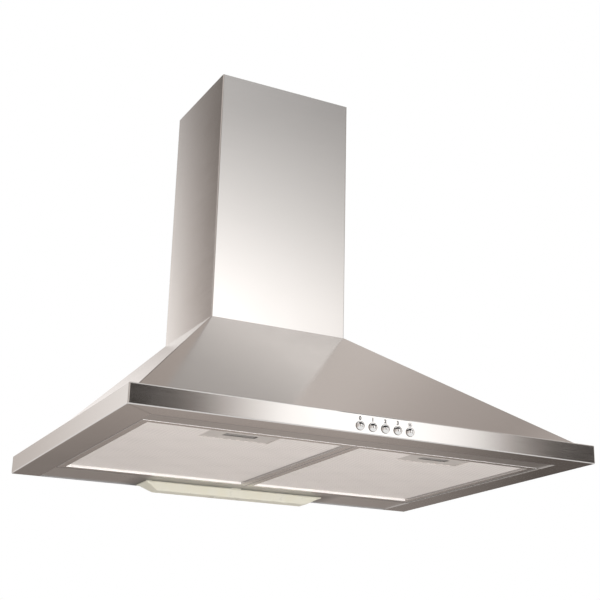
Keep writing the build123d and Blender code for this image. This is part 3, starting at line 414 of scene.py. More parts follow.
@dataclass(frozen=True)
class BrushedMetal(Finish):
    """Sheet metal with a fine brushed grain and faint smudges from wiping."""

    metallic: float = 1.0
    grain: Grain = Grain.WRAPPED
    fineness: float = 2600.0  # lines for each metre
    coarser: float = 7.0  # how much wider the coarse lines are
    fine_share: float = 0.75
    stretch: float = 90.0  # how much longer a line is than wide
    streak: float = 0.02
    gloss_streak: float = 0.02
    smoothest: float = 0.08
    depth: float = 0.000006
    relief: float = 0.5
    smudge: float = 0.02
    smudge_scale: float = 9.0
    side_facing: float = 0.55  # a face that looks this far sideways is a side

    def surface(self, graph: Graph) -> dict[str, Wire]:
        """Grain in the colour, roughness and bump, with wide smudges.

        Args:
            graph: The material's graph.

        Returns:
            Wires by the shader's socket.
        """
        where = graph.place()
        fine = self.brushed(graph, where, self.fineness)
        wide = self.brushed(graph, where, self.fineness / self.coarser)
        lines = fine * self.fine_share + wide * (1 - self.fine_share)
        cloud = graph.noise(where, self.smudge_scale, detail=4.0, rough=0.55)
        wiped = graph.spread(cloud, -self.smudge, self.smudge, NOISE_SPAN)
        gloss = graph.spread(lines, -self.gloss_streak, self.gloss_streak, NOISE_SPAN)
        rough = gloss + wiped + self.roughness
        tone = graph.spread(lines, 0.0, 1.0, NOISE_SPAN)
        return {
            "Base Color": graph.mix(tone, self.shade(1 - 2 * self.streak), self.colour),
            "Roughness": rough.most(self.smoothest),
            "Normal": graph.bump(lines, self.depth, self.relief),
        }

    def brushed(self, graph: Graph, where: Wire, fineness: float) -> Wire:
        """Noise drawn out along the grain.

        Args:
            graph: The material's graph.
            where: Object coordinates.
            fineness: Lines for each metre across the grain.

        Returns:
            The noise between zero and one.
        """
        along = fineness / self.stretch
        level = graph.noise(where * (along, fineness, fineness), 1.0, detail=2.0)
        if self.grain is Grain.LEVEL:
            return level
        if self.grain is Grain.TURNED:
            return graph.noise(where * (fineness, along, along), 1.0, detail=2.0)
        sides = graph.noise(where * (fineness, along, fineness), 1.0, detail=2.0)
        across, _, _ = graph.parts(graph.facing())
        return graph.blend(abs(across) > self.side_facing, level, sides)


@dataclass(frozen=True)
class FoldedBorder(BrushedMetal):
    """A folded aluminium border with a painted highlight on the faces that look forwards and
    painted shade on the faces that look sideways.
    """

    # The painted highlight's pale colour, with its lower metallic and higher roughness.
    wall: Colour = (0.93, 0.89, 0.86)
    wall_metallic: float = 0.15
    wall_roughness: float = 0.5
    # How dark the painted shade on the side faces gets.
    side: float = 0.62
    turned: Span = (0.45, 0.75)  # how far a face looks that way: not at all, and fully

    def surface(self, graph: Graph) -> dict[str, Wire]:
        """The brushed faces, with painted highlight and painted shade by the way each face looks.

        Args:
            graph: The material's graph.

        Returns:
            Wires by the shader's socket.
        """
        wires = super().surface(graph)
        across, away, _ = graph.parts(graph.facing())
        # Painted highlight: faces that look forwards turn pale, less metallic and rougher.
        front = graph.spread(away * -1.0, 0.0, 1.0, self.turned)
        # Painted shade: faces that look sideways are darkened.
        dark = graph.spread(abs(across), 1.0, self.side, self.turned)
        wires["Base Color"] = graph.mix(front, wires["Base Color"] * graph.tint(dark), self.wall)
        wires["Metallic"] = graph.blend(front, self.metallic, self.wall_metallic)
        wires["Roughness"] = graph.blend(front, wires["Roughness"], self.wall_roughness)
        return wires


@dataclass(frozen=True)
class SeamedSteel(BrushedMetal):
    """Brushed sheet with painted shadow: a dark line behind the front flange and a dark halo round
    the lens.
    """

    flange_edge: float = -0.418
    # The painted shadow behind the flange: its band past the edge, and its darkest level.
    flange_seam: Span = (0.003, 0.007)
    flange_shade: float = 0.45
    # The painted shadow round the lens: the lens's outline, the shadow's darkest and lightest
    # levels, and how far it reaches.
    lens_middle: Span = (0.0, -0.026)
    lens_half: Span = (0.132, 0.020)
    lens_shade: Span = (0.30, 0.86)
    reach: float = 0.026

    def surface(self, graph: Graph) -> dict[str, Wire]:
        """The brushed sheet with its painted shadows.

        Args:
            graph: The material's graph.

        Returns:
            Wires by the shader's socket.
        """
        wires = super().surface(graph)
        x, y, _ = graph.parts(graph.place())
        # Painted shadow: a dark line on the floor just behind the front flange's edge.
        shadow_band = (self.flange_edge + self.flange_seam[0], self.flange_edge + self.flange_seam[1])
        behind = graph.spread(y, self.flange_shade, 1.0, shadow_band)
        # Painted shadow: the floor darkens towards the lens's outline.
        out_x = abs(x - self.lens_middle[0]) - self.lens_half[0]
        out_y = abs(y - self.lens_middle[1]) - self.lens_half[1]
        lens_shadow = graph.spread(out_x.most(out_y), *self.lens_shade, (0.0, self.reach))
        wires["Base Color"] = wires["Base Color"] * graph.tint(behind * lens_shadow)
        return wires


@dataclass(frozen=True)
class ExpandedMesh(Finish):
    """Layers of slit and stretched aluminium sheet: small diamonds with raised strands."""

    metallic: float = 0.35
    long_way: float = 0.0050
    short_way: float = 0.0030
    strand: Span = (0.10, 0.42)
    lower_scale: float = 0.9
    lower_shifts: Span = (0.6, 0.3)
    lower_height: float = 0.55
    # How dark the painted shade in the diamonds is.
    hollow: float = 0.76
    cloud_scale: float = 20.0
    cloud_shade: float = 0.9
    dull: float = 0.12
    depth: float = 0.0005
    relief: float = 0.35

    def surface(self, graph: Graph) -> dict[str, Wire]:
        """Strands that stand out, and diamonds with painted shade where the lower layer lies in
        shadow.

        Args:
            graph: The material's graph.

        Returns:
            Wires by the shader's socket.
        """
        where = graph.place()
        x, y, _ = graph.parts(where)
        rows = y / self.short_way
        columns = x / self.long_way
        upper = self.layer(graph, columns, rows, (0.0, 0.0), 1.0)
        wider = (columns * self.lower_scale, rows * self.lower_scale)
        lower = self.layer(graph, *wider, self.lower_shifts, self.lower_height)
        height = upper.most(lower)
        cloud = graph.noise(where, self.cloud_scale)
        tone = height * graph.spread(cloud, self.cloud_shade, 1.0, NOISE_SPAN)
        return {
            # The diamonds between the strands take the painted shade.
            "Base Color": graph.mix(tone, self.shade(self.hollow), self.colour),
            "Roughness": graph.spread(height, self.roughness + self.dull, self.roughness),
            "Normal": graph.bump(height, self.depth, self.relief),
        }

    def layer(self, graph: Graph, columns: Wire, rows: Wire, shifts: Span, height: float) -> Wire:
        """One layer of strands that cross.

        Args:
            graph: The material's graph.
            columns: Diamonds along the width.
            rows: Diamonds along the depth.
            shifts: How far the two sets of strands are moved, in diamonds.
            height: The strands' height.

        Returns:
            The height, which is zero in the diamonds.
        """
        first = (columns + rows + shifts[0]).fold(1.0)
        second = (columns - rows + shifts[1]).fold(1.0)
        return graph.spread(first.least(second), height, 0.0, self.strand)


@dataclass(frozen=True)
class Moulded(Finish):
    """Moulded plastic, rubber or enamel with a fine spark texture."""

    texture: float = 1500.0
    depth: float = 0.00003
    relief: float = 0.6
    mottle: float = 0.06
    cloud_scale: float = 24.0
    gloss: Span = (-0.04, 0.06)

    def surface(self, graph: Graph) -> dict[str, Wire]:
        """Spark texture in the bump and slow changes of colour and gloss.

        Args:
            graph: The material's graph.

        Returns:
            Wires by the shader's socket.
        """
        where = graph.place()
        spark = graph.noise(where, self.texture, detail=2.0)
        cloud = graph.noise(where, self.cloud_scale, detail=4.0)
        tone = graph.spread(cloud, 0.0, 1.0, NOISE_SPAN)
        return {
            "Base Color": graph.mix(tone, self.shade(1 - self.mottle), self.colour),
            "Roughness": self.uneven(graph, spark, self.gloss),
            "Normal": graph.bump(spark, self.depth, self.relief),
        }


@dataclass(frozen=True)
class ZincPlate(Finish):
    """Galvanised sheet with its crystals."""

    metallic: float = 1.0
    crystals: float = 125.0  # for each metre
    crystal_shade: float = 0.93
    gloss: Span = (-0.03, 0.03)
    grit: float = 900.0
    depth: float = 0.00002
    relief: float = 0.5

    def surface(self, graph: Graph) -> dict[str, Wire]:
        """Crystals of different tone and gloss.

        Args:
            graph: The material's graph.

        Returns:
            Wires by the shader's socket.
        """
        where = graph.place()
        sockets = {"Vector": where, "Scale": self.crystals}
        cell = graph.node("ShaderNodeTexVoronoi", {"feature": "F1"}, sockets)
        crystal, _, _ = graph.parts(cell.out("Color"))
        fine = graph.noise(where, self.grit, detail=2.0)
        low, high = self.gloss
        return {
            "Base Color": graph.mix(crystal, self.shade(self.crystal_shade), self.colour),
            "Roughness": graph.spread(crystal, self.roughness + low, self.roughness + high),
            "Normal": graph.bump(fine, self.depth, self.relief),
        }


@dataclass(frozen=True)
class PrismLens(Finish):
    """Cream plastic, with small prisms on the level face."""

    pitch: float = 0.004
    level_facing: Span = (0.80, 0.95)
    cloud_scale: float = 60.0
    gloss: Span = (-0.03, 0.05)
    green_share: float = 0.985
    blue_share: float = 0.94
    depth: float = 0.0004
    relief: float = 0.25

    def surface(self, graph: Graph) -> dict[str, Wire]:
        """Rows of pyramids where the face looks down or up.

        Args:
            graph: The material's graph.

        Returns:
            Wires by the shader's socket.
        """
        where = graph.place()
        x, y, _ = graph.parts(where)
        peaks = (x / self.pitch).fold(0.5) + (y / self.pitch).fold(0.5)
        _, _, up = graph.parts(graph.facing())
        level = graph.spread(abs(up), 0.0, 1.0, self.level_facing)
        cloud = graph.noise(where, self.cloud_scale)
        red, green, blue = self.colour
        warm = (red, green * self.green_share, blue * self.blue_share)
        return {
            "Base Color": graph.mix(graph.spread(cloud, 0.0, 1.0, NOISE_SPAN), self.colour, warm),
            "Roughness": self.uneven(graph, cloud, self.gloss),
            "Normal": graph.bump(peaks * level, self.depth, self.relief),
        }


@dataclass(frozen=True)
class Layered(Finish):
    """A stack of stamped iron sheets, seen on edge."""

    metallic: float = 0.8
    sheet: float = 0.0010
    groove: float = 0.14  # share of a sheet
    groove_shade: float = 0.45
    cloud_scale: float = 120.0
    cloud_shade: float = 0.75
    gloss: Span = (-0.08, 0.10)
    depth: float = 0.00015
    relief: float = 0.7

    def surface(self, graph: Graph) -> dict[str, Wire]:
        """Lines between the sheets.

        Args:
            graph: The material's graph.

        Returns:
            Wires by the shader's socket.
        """
        where = graph.place()
        x, _, _ = graph.parts(where)
        line = graph.spread((x / self.sheet).fold(0.5), 0.0, 1.0, (0.0, self.groove))
        cloud = graph.noise(where, self.cloud_scale, detail=4.0)
        tone = line * graph.spread(cloud, self.cloud_shade, 1.0, NOISE_SPAN)
        return {
            "Base Color": graph.mix(tone, self.shade(self.groove_shade), self.colour),
            "Roughness": self.uneven(graph, cloud, self.gloss),
            "Normal": graph.bump(line, self.depth, self.relief),
        }


@dataclass(frozen=True)
class Finishes:
    """The hood's finishes. The filters and the marks on the rim add a few of their own."""

    satin_steel: Finish = BrushedMetal("satin_steel", (0.640, 0.612, 0.590), 0.12)
    rim_steel: Finish = BrushedMetal("rim_steel", (0.640, 0.615, 0.595), 0.13)
    # The floor's colour carries painted shadow behind the front flange and round the lens.
    floor_steel: Finish = SeamedSteel("floor_steel", (0.600, 0.570, 0.550), 0.30, grain=Grain.LEVEL)
    zinc_steel: Finish = ZincPlate("zinc_steel", (0.60, 0.61, 0.62), 0.36)
    filter_aluminium: Finish = FoldedBorder(
        "filter_aluminium", (0.720, 0.690, 0.665), 0.20, grain=Grain.LEVEL, streak=0.03
    )
    grey_plastic: Finish = Moulded("grey_plastic", (0.37, 0.335, 0.31), 0.42)
    button_chrome: Finish = BrushedMetal(
        "button_chrome", (0.80, 0.79, 0.78), 0.06, streak=0.01, smudge=0.01, depth=0.000002
    )
    lens_plastic: Finish = PrismLens(
        "lens_plastic", (0.585, 0.560, 0.475), 0.30, shader={"IOR": 1.49}
    )
    white_enamel: Finish = Moulded("white_enamel", (0.80, 0.80, 0.78), 0.25, texture=300.0)
    ceramic: Finish = Moulded("ceramic", (0.84, 0.82, 0.77), 0.35, texture=900.0)
    lamp_glass: Finish = Moulded(
        "lamp_glass", (0.93, 0.92, 0.88), 0.30, shader={"Transmission Weight": 0.5, "IOR": 1.45}
    )
    cap_brass: Finish = BrushedMetal("cap_brass", (0.72, 0.52, 0.25), 0.32, grain=Grain.TURNED)
    fan_plastic: Finish = Moulded("fan_plastic", (0.16, 0.16, 0.17), 0.42)
    cast_aluminium: Finish = Moulded(
        "cast_aluminium", (0.60, 0.60, 0.60), 0.45, metallic=1.0, texture=600.0, depth=0.00008
    )
    motor_iron: Finish = Layered("motor_iron", (0.30, 0.29, 0.28), 0.45)
    soft_rubber: Finish = Moulded("soft_rubber", (0.035, 0.035, 0.037), 0.70)
    capacitor_case: Finish = Moulded("capacitor_case", (0.74, 0.74, 0.72), 0.35)
    lead_sheath: Finish = Moulded("lead_sheath", (0.60, 0.60, 0.58), 0.45, texture=800.0)


@dataclass
class Dresser:
    """Gives CAD nodes their materials and keeps one material for each finish."""

    made: dict[str, bpy.types.Material] = field(default_factory=dict)

    def finish(self, finish: Finish) -> bpy.types.Material:
        """The material of a finish, made on first use."""
        if finish.name not in self.made:
            self.made[finish.name] = finish.material()
        return self.made[finish.name]

    def dress(self, finish: Finish, *names: str) -> None:
        """Gives nodes a finish.

        Args:
            finish: The finish.
            names: Names of CAD nodes.
        """
        for name in names:
            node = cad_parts[name]
            if not node.material_slots:
                node.data.materials.append(self.finish(finish))
            for slot in node.material_slots:
                slot.material = self.finish(finish)
            LOG.info("%s has the finish %s", name, finish.name)


@dataclass
class Canopy:
    """The sloping shell with its rim, back and inner floor."""

    shell: tuple[str, ...] = ("canopy_shell",)
    inner: tuple[str, ...] = ("back_panel", "switch_bracket", "filter_rail", "top_plate")
    rim: str = "rim_band"
    floor: str = "floor_frame"

    def build(self, dresser: Dresser, finishes: Finishes) -> None:
        """Dresses the canopy.

        Args:
            dresser: Gives nodes their materials.
            finishes: The hood's finishes.
        """
        dresser.dress(finishes.satin_steel, *self.shell)
        dresser.dress(finishes.zinc_steel, *self.inner)
        dresser.dress(finishes.rim_steel, self.rim)
        dresser.dress(finishes.floor_steel, self.floor)


@dataclass
class Chimney:
    """The fixed cover, the cover that slides in it, and what holds them."""

    covers: tuple[str, ...] = ("chimney_lower", "chimney_upper")
    fittings: tuple[str, ...] = ("chimney_bracket", "case_screws")

    def build(self, dresser: Dresser, finishes: Finishes) -> None:
        """Dresses the chimney.

        Args:
            dresser: Gives nodes their materials.
            finishes: The hood's finishes.
        """
        dresser.dress(finishes.satin_steel, *self.covers)
        dresser.dress(finishes.zinc_steel, *self.fittings)


@dataclass
class Filters:
    """The two grease filters."""

    mesh: Finish = ExpandedMesh("filter_mesh", (0.725, 0.668, 0.632), 0.45)
    latch: Finish = Moulded("latch_plastic", (0.19, 0.175, 0.165), 0.45)

    def build(self, dresser: Dresser, finishes: Finishes) -> None:
        """Dresses both filters.

        Args:
            dresser: Gives nodes their materials.
            finishes: The hood's finishes.
        """
        for side in ("left", "right"):
            dresser.dress(finishes.filter_aluminium, f"filter_{side}_border")
            dresser.dress(self.mesh, f"filter_{side}_mesh")
            handle = (f"filter_{side}_handle_plate", f"filter_{side}_handle_cup")
            dresser.dress(finishes.grey_plastic, *handle)
            dresser.dress(self.latch, f"filter_{side}_latch")
            dresser.dress(finishes.zinc_steel, f"filter_{side}_latch_spring")


@dataclass
class Controls:
    """The row of push buttons in the rim, with a mark over each one."""

    pitch: float = 0.0162
    mark_height: float = 0.0172
    front: float = -0.4500
    letter_size: float = 0.0058
    letter_weight: float = 0.00028
    relief: float = 0.00004
    bulb_radii: Span = (0.00150, 0.00070)  # outer and inner
    ray_span: Span = (0.00190, 0.00290)
    ray_half: float = 0.00032
    rays: int = 8
    ring_steps: int = 32
    speeds: int = 3
    ink: Finish = Moulded("mark_ink", (0.030, 0.030, 0.030), 0.55)

    def build(self, dresser: Dresser, finishes: Finishes) -> None:
        """Dresses the buttons and adds the marks.

        Args:
            dresser: Gives nodes their materials.
            finishes: The hood's finishes.
        """
        numbered = [f"button_speed_{speed}" for speed in range(1, self.speeds + 1)]
        dresser.dress(finishes.button_chrome, "button_off", *numbered, "button_lamp")
        dresser.dress(finishes.fan_plastic, "switch_block")
        first = -self.pitch * (self.speeds + 1) / 2
        for number in range(self.speeds + 1):
            self.number(str(number), first + number * self.pitch, dresser)
        self.lamp_mark(-first, dresser)

    def number(self, text: str, x: float, dresser: Dresser) -> None:
        """Prints a number on the rim.

        Args:
            text: The number.
            x: Middle of the mark.
            dresser: Gives the mark its ink.
        """
        curve = bpy.data.curves.new(f"mark_{text}", "FONT")
        curve.body = text
        curve.size = self.letter_size
        curve.align_x = "CENTER"
        curve.align_y = "CENTER"
        curve.extrude = self.relief / 2
        curve.offset = self.letter_weight
        mark = add_object(f"mark_{text}", curve)
        mark.rotation_euler = Euler((math.pi / 2, 0.0, 0.0))
        mark.location = (x, self.front - self.relief / 2, self.mark_height)
        curve.materials.append(dresser.finish(self.ink))
        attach(mark, "hood")
        LOG.info("mark %s is printed", text)

    def lamp_mark(self, x: float, dresser: Dresser) -> None:
        """Prints a small lamp: a ring with rays round it.

        Args:
            x: Middle of the mark.
            dresser: Gives the mark its ink.
        """
        mesh = bpy.data.meshes.new("mark_lamp")
        shape = bmesh.new()
        self.ring(shape, x)
        for turn in range(self.rays):
            self.ray(shape, x, 2 * math.pi * turn / self.rays)
        bmesh.ops.recalc_face_normals(shape, faces=shape.faces)
        shape.to_mesh(mesh)
        shape.free()
        mark = add_object("mark_lamp", mesh)
        mesh.materials.append(dresser.finish(self.ink))
        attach(mark, "hood")
        LOG.info("the lamp's mark is printed")

    def ring(self, shape: bmesh.types.BMesh, x: float) -> None:
        """Adds the mark's flat ring.

        Args:
            shape: The mesh that is being built.
            x: Middle of the mark.
        """
        middle = Vector((x, self.front - self.relief, self.mark_height))
        turns = [2 * math.pi * step / self.ring_steps for step in range(self.ring_steps)]
        ways = [Vector((math.cos(angle), 0.0, math.sin(angle))) for angle in turns]
        outer, inner = (
            [shape.verts.new(middle + way * radius) for way in ways] for radius in self.bulb_radii
        )
        for step in range(self.ring_steps):
            after = (step + 1) % self.ring_steps
            shape.faces.new((outer[step], outer[after], inner[after], inner[step]))

    def ray(self, shape: bmesh.types.BMesh, x: float, angle: float) -> None:
        """Adds a flat ray.

        Args:
            shape: The mesh that is being built.
            x: Middle of the mark.
            angle: Direction of the ray.
        """
        low, high = self.ray_span
        out = Vector((math.cos(angle), 0.0, math.sin(angle)))
        wide = Vector((-math.sin(angle), 0.0, math.cos(angle))) * self.ray_half
        middle = Vector((x, self.front - self.relief, self.mark_height))
        corners = (out * low - wide, out * high - wide, out * high + wide, out * low + wide)
        shape.faces.new([shape.verts.new(middle + corner) for corner in corners])


@dataclass
class LampUnit:
    """The lens, its hinges, the box over it and the two lamps."""

    lens: str = "lamp_lens"

    def build(self, dresser: Dresser, finishes: Finishes) -> None:
        """Dresses the lamp unit.

        Args:
            dresser: Gives nodes their materials.
            finishes: The hood's finishes.
        """
        dresser.dress(finishes.lens_plastic, self.lens)
        dresser.dress(finishes.zinc_steel, "lens_hinges")
        dresser.dress(finishes.white_enamel, "lamp_box")
        dresser.dress(finishes.ceramic, "lamp_sockets")
        dresser.dress(finishes.lamp_glass, "lamp_bulbs")
        dresser.dress(finishes.cap_brass, "lamp_caps")


@dataclass
class Fan:
    """The scroll housing, wheel, motor and what carries them."""

    moulded: tuple[str, ...] = ("fan_scroll_left", "fan_scroll_right")
    wheel: tuple[str, ...] = ("impeller_hub", "impeller_blades", "impeller_rings")
    cast: tuple[str, ...] = ("motor_front_cap", "motor_rear_cap")
    iron: tuple[str, ...] = ("motor_stator", "motor_rotor")
    plated: tuple[str, ...] = ("motor_mount", "motor_screws", "scroll_screws", "motor_bearings")

    def build(self, dresser: Dresser, finishes: Finishes) -> None:
        """Dresses the fan.

        Args:
            dresser: Gives nodes their materials.
            finishes: The hood's finishes.
        """
        dresser.dress(finishes.fan_plastic, *self.moulded)
        dresser.dress(finishes.fan_plastic, *self.wheel)
        dresser.dress(finishes.cast_aluminium, *self.cast)
        dresser.dress(finishes.motor_iron, *self.iron)
        dresser.dress(finishes.zinc_steel, *self.plated)
        dresser.dress(finishes.button_chrome, "motor_shaft")
        dresser.dress(finishes.soft_rubber, "motor_bushes")


@dataclass
class Outlet:
    """The duct collar and its two flaps."""

    moulded: tuple[str, ...] = ("outlet_collar", "flap_front", "flap_rear")

    def build(self, dresser: Dresser, finishes: Finishes) -> None:
        """Dresses the outlet.

        Args:
            dresser: Gives nodes their materials.
            finishes: The hood's finishes.
        """
        dresser.dress(finishes.fan_plastic, *self.moulded)
        dresser.dress(finishes.zinc_steel, "flap_pin")


@dataclass
class Wiring:
    """The terminal box, capacitor, gland and leads."""

    boxes: tuple[str, ...] = ("terminal_box", "terminal_lid")

    def build(self, dresser: Dresser, finishes: Finishes) -> None:
        """Dresses the wiring.

        Args:
            dresser: Gives nodes their materials.
            finishes: The hood's finishes.
        """
        dresser.dress(finishes.fan_plastic, *self.boxes)
        dresser.dress(finishes.capacitor_case, "run_capacitor")
        dresser.dress(finishes.zinc_steel, "capacitor_clip")
        dresser.dress(finishes.soft_rubber, "cable_gland")
        dresser.dress(finishes.lead_sheath, "inner_leads")


@dataclass(frozen=True)
class Panel:
    """A panel of soft light that the metal reflects.

    Its brightness is given by degrees of azimuth along it and of elevation up it.
    """

    name: str
    azimuth: float
    elevation: float
    across: tuple[Span, ...]
    upwards: tuple[Span, ...]
    away: float = 2.6  # metres from the point that it faces
    peak: float = 2.0  # brightness at the top of its ramps
    neutral: float = 1.5  # dimmer parts than this are warmer
    green_loss: float = 0.15
    blue_loss: float = 0.24

    def half_width(self) -> float:
        """Half the panel's width, in metres."""
        reach = max(abs(turn - self.azimuth) for turn, _ in self.across)
        return self.away * math.tan(math.radians(reach))

    def half_height(self) -> float:
        """Half the panel's height, in metres."""
        reach = max(abs(rise - self.elevation) for rise, _ in self.upwards)
        return self.away * math.tan(math.radians(reach))

    def stops(
        self, middle: float, half: float, levels: tuple[Span, ...]
    ) -> list[tuple[float, Colour]]:
        """Turns degrees and levels into a ramp's stops.

        Args:
            middle: Degrees at the panel's middle.
            half: Half its width or height, in metres.
            levels: Degrees and brightness, in order.

        Returns:
            Place and colour of each stop.
        """
        places = []
        for degrees, level in levels:
            at = self.away * math.tan(math.radians(degrees - middle)) / half
            warmth = max(0.0, 1.0 - level / self.neutral)
            share = level / self.peak
            green = share * (1 - self.green_loss * warmth)
            blue = share * (1 - self.blue_loss * warmth)
            places.append((0.5 + at / 2, (share, green, blue)))
        return places

    def material(self) -> bpy.types.Material:
        """Makes the panel's glow.

        Returns:
            An emission material that fades along and up the panel.
        """
        material, graph = blank_material(self.name)
        place = graph.node("ShaderNodeTexCoord").out("Generated")
        along, up, _ = graph.parts(place)
        across = self.stops(self.azimuth, self.half_width(), self.across)
        rising = self.stops(self.elevation, self.half_height(), self.upwards)
        upwards = [(spot, (level, level, level)) for spot, (level, _, _) in rising]
        first = graph.node("ShaderNodeValToRGB", {"stops": across}, {0: along}).out(0)
        second = graph.node("ShaderNodeValToRGB", {"stops": upwards}, {0: up}).out(0)
        sockets = {"Color": first * second, "Strength": self.peak**2}
        graph.show(graph.node("ShaderNodeEmission", {}, sockets))
        return material


PANELS = (
    Panel(
        "hip_panel", 175.0, 38.5,
        ((163.0, 0.03), (175.0, 0.03), (187.0, 0.03)),
        ((32.5, 1.0), (38.5, 1.0), (44.5, 1.0)), away=2.45,
    ),
    Panel(
        "front_panel", 27.0, -3.0,
        ((-20.0, 1.00), (0.0, 0.80), (5.0, 0.35), (8.5, 0.05), (13.0, 0.02), (16.2, 0.25),
         (19.2, 1.00), (22.2, 1.72), (28.0, 1.92), (32.0, 1.78), (35.0, 1.40), (38.0, 0.42),
         (41.0, 0.03), (45.0, 0.04), (49.0, 0.70), (56.0, 1.00), (74.0, 1.00)),
        ((-20.0, 0.8), (0.0, 1.0), (14.0, 1.0)),
    ),
    Panel(
        "front_high_panel", 27.0, 27.5,
        ((-20.0, 1.00), (0.0, 0.80), (5.0, 0.35), (8.0, 0.06), (11.0, 0.06), (13.2, 0.45),
         (16.2, 1.60), (19.2, 2.20), (25.0, 1.84), (32.0, 1.44), (38.0, 1.00), (44.0, 0.30),
         (50.0, 0.70), (60.0, 1.00), (74.0, 1.00)),
        ((14.0, 0.98), (18.5, 0.98), (27.0, 0.62), (35.0, 0.36), (41.0, 0.34)), peak=2.2,
    ),
    Panel(
        "top_panel", 30.0, 54.0,
        ((2.0, 0.7), (18.0, 0.85), (26.0, 1.45), (31.0, 1.66), (58.0, 1.66)),
        ((43.6, 1.28), (44.5, 1.16), (45.3, 1.00), (46.5, 0.79), (48.0, 0.66), (49.7, 0.53),
         (51.3, 0.475), (54.0, 0.45), (63.5, 0.50)),
    ),
    Panel(
        "back_high_panel", 138.0, 46.0,
        ((105.0, 0.70), (120.0, 0.66), (124.5, 0.53), (127.0, 0.44), (130.0, 0.49), (133.0, 0.535),
         (136.0, 0.625), (138.5, 0.70), (142.0, 0.70), (145.0, 0.40), (171.0, 0.38)),
        ((24.0, 1.0), (42.0, 1.0), (68.0, 1.0)),
    ),
    Panel(
        "back_left_panel", 168.0, 14.0,
        ((150.0, 0.55), (160.0, 0.55), (166.0, 0.60), (171.0, 1.00), (186.0, 1.00)),
        ((1.0, 1.05), (14.0, 1.0), (27.0, 0.9)),
    ),
    Panel(
        "side_high_panel", 202.0, 27.0,
        ((187.0, 1.30), (199.6, 1.30), (200.5, 0.89), (201.4, 0.62), (202.1, 0.48), (203.0, 0.36),
         (217.0, 0.34)),
        ((13.0, 1.20), (18.0, 1.06), (24.5, 0.84), (31.0, 0.60), (36.0, 0.54), (41.0, 0.5)),
    ),
    Panel(
        "side_top_panel", 206.0, 48.0,
        ((190.0, 0.75), (206.0, 0.72), (222.0, 0.72)),
        ((38.5, 1.15), (44.5, 1.10), (48.5, 0.92), (57.5, 0.90)),
    ),
    Panel(
        "side_low_panel", 202.0, 4.0,
        ((187.0, 0.58), (197.0, 0.58), (201.0, 0.80), (206.0, 1.15), (217.0, 1.20)),
        ((-4.0, 1.0), (4.0, 1.0), (12.0, 1.0)),
    ),
    Panel(
        "left_panel", 286.0, 8.0,
        ((236.0, 0.80), (262.0, 0.72), (286.0, 0.60), (312.0, 0.74), (336.0, 0.95)),
        ((-34.0, 1.15), (-20.0, 1.05), (-8.0, 0.92), (6.0, 0.88), (28.0, 1.0), (48.0, 1.15)),
    ),
    Panel(
        "low_panel", 153.0, -22.0,
        ((115.0, 0.08), (137.0, 0.12), (144.0, 0.26), (150.0, 0.34), (158.0, 0.31), (168.0, 0.25),
         (191.0, 0.25)),
        ((-46.0, 1.2), (-24.0, 1.9), (-19.0, 1.6), (-16.5, 1.1), (-14.0, 0.9), (2.0, 0.8)),
    ),
)


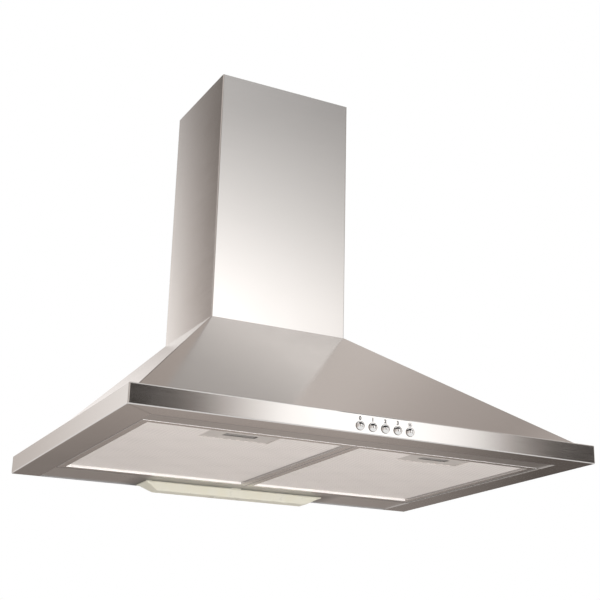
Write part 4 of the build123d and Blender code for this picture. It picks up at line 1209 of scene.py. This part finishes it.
@dataclass
class Studio:
    """A pale floor, soft light, panels that the metal reflects, and the camera."""

    floor_height: float = -2.60
    floor_half: float = 6.0
    floor_colour: Colour = (0.92, 0.92, 0.92)
    floor_roughness: float = 0.9
    room_light: float = 0.55
    aim: Point = (0.0, -0.30, 0.20)
    lamps: tuple[tuple[str, Point, float, float], ...] = (  # name, place, side, watts
        ("key", (1.6, -2.6, 1.6), 1.4, 45.0),
        ("fill", (-2.4, -1.6, 0.6), 1.6, 18.0),
        ("low", (0.0, -1.15, -0.75), 1.0, 14.0),
    )
    cards: tuple[tuple[str, float, float], ...] = (  # name, brightness, height
        ("card_under", 0.02, 0.0340),
        ("card_over", 1.0, 0.0345),
    )
    card_front: float = -0.4715
    card_half: Span = (0.046, 0.0135)
    viewpoint: Point = (-0.6857, -1.6091, -0.2907)
    turns: Point = (109.2288, -0.4679, -29.5057)  # degrees about X, Y and Z
    sensor: float = 36.0
    focal_length: float = 73.57
    shift: Span = (-0.10, -0.025)  # shares of the picture's width

    def build(self) -> None:
        """Builds the studio."""
        self.world()
        self.floor()
        self.lights()
        self.panels()
        self.camera()

    def world(self) -> None:
        """Sets a plain grey room that the camera, metal and glass see as white."""
        world = bpy.data.worlds.new("studio")
        bpy.context.scene.world = world
        world.use_nodes = True
        graph = Graph(world.node_tree)
        path = graph.node("ShaderNodeLightPath")
        mirrored = path.out("Is Glossy Ray").most(path.out("Is Transmission Ray"))
        strength = graph.blend(path.out("Is Camera Ray").most(mirrored), self.room_light, 1.0)
        sockets = {"Color": (1.0, 1.0, 1.0), "Strength": strength}
        room = graph.node("ShaderNodeBackground", {}, sockets)
        graph.node("ShaderNodeOutputWorld", {}, {"Surface": room.out(0)})

    def panel(self, panel: Panel) -> None:
        """Adds a panel that faces the hood.

        Args:
            panel: Its place, size and brightness.
        """
        turn = math.radians(panel.azimuth)
        rise = math.radians(panel.elevation)
        level = math.cos(rise)
        out = Vector((math.sin(turn) * level, -math.cos(turn) * level, math.sin(rise)))
        half = (panel.half_width(), panel.half_height())
        self.card(panel.name, Vector(self.aim) + out * panel.away, out, half, panel.material())

    def card(
        self, name: str, middle: Vector, out: Vector, half: Span, material: bpy.types.Material
    ) -> None:
        """Adds a flat card that only reflections show.

        Args:
            name: The card's name.
            middle: Its middle.
            out: The way its back looks.
            half: Half its width and height.
            material: What it is made of.
        """
        mesh = bpy.data.meshes.new(name)
        shape = bmesh.new()
        for x, y in ((-1, -1), (1, -1), (1, 1), (-1, 1)):
            shape.verts.new((x * half[0], y * half[1], 0.0))
        shape.faces.new(shape.verts)
        shape.to_mesh(mesh)
        shape.free()
        card = add_object(name, mesh)
        card.location = middle
        card.rotation_euler = out.to_track_quat("Z", "Y").to_euler()
        card.visible_camera = False
        card.visible_diffuse = False
        card.visible_shadow = False
        card.visible_transmission = False
        mesh.materials.append(material)

    @staticmethod
    def glow(name: str, level: float) -> bpy.types.Material:
        """A flat glow.

        Args:
            name: The material's name.
            level: Its brightness.

        Returns:
            An emission material.
        """
        material, graph = blank_material(name)
        sockets = {"Color": (level, level, level), "Strength": 1.0}
        graph.show(graph.node("ShaderNodeEmission", {}, sockets))
        return material

    def panels(self) -> None:
        """Adds the panels round the hood, and cards over the buttons: dark below, white above."""
        for panel in PANELS:
            self.panel(panel)
        up = Vector((0.0, 0.0, 1.0))
        for name, level, height in self.cards:
            middle = Vector((0.0, self.card_front, height))
            self.card(name, middle, up, self.card_half, self.glow(name, level))

    def floor(self) -> None:
        """Lays the floor."""
        mesh = bpy.data.meshes.new("floor")
        shape = bmesh.new()
        bmesh.ops.create_grid(shape, x_segments=2, y_segments=2, size=self.floor_half)
        shape.to_mesh(mesh)
        shape.free()
        floor = add_object("floor", mesh)
        floor.location = (0.0, 0.0, self.floor_height)
        floor.visible_glossy = False
        material, graph = blank_material("floor")
        sockets = {"Base Color": self.floor_colour, "Roughness": self.floor_roughness}
        graph.show(graph.node("ShaderNodeBsdfPrincipled", {}, sockets))
        mesh.materials.append(material)

    def light(self, name: str, place: Point, size: float, power: float) -> None:
        """Adds a soft square lamp that looks at the hood.

        Args:
            name: The lamp's name.
            place: Where it hangs.
            size: Its side.
            power: Its power, in watts.
        """
        data = bpy.data.lights.new(name, "AREA")
        data.shape = "SQUARE"
        data.size = size
        data.energy = power
        data.specular_factor = 0.0
        lamp = add_object(name, data)
        lamp.location = place
        lamp.rotation_euler = (Vector(place) - Vector(self.aim)).to_track_quat("Z", "Y").to_euler()
        lamp.visible_glossy = False

    def lights(self) -> None:
        """Hangs the lamps."""
        for name, place, size, power in self.lamps:
            self.light(name, place, size, power)

    def camera(self) -> None:
        """Sets the camera at the photograph's viewing angle."""
        data = bpy.data.cameras.new("camera")
        data.sensor_width = self.sensor
        data.lens = self.focal_length
        data.shift_x, data.shift_y = self.shift
        camera = add_object("camera", data)
        camera.location = self.viewpoint
        camera.rotation_euler = Euler([math.radians(turn) for turn in self.turns])
        bpy.context.scene.camera = camera


def main() -> None:
    """Builds the scene in order."""
    logging.basicConfig(level=logging.INFO, format="%(name)s: %(message)s")
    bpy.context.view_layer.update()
    dresser = Dresser()
    finishes = Finishes()
    for unit in (Canopy(), Chimney(), Filters(), Controls(), LampUnit(), Fan(), Outlet(), Wiring()):
        unit.build(dresser, finishes)
        LOG.info("%s is dressed", type(unit).__name__)
    Studio().build()
    bpy.context.scene.view_settings.view_transform = "Standard"


if __name__ == "__main__":
    main()
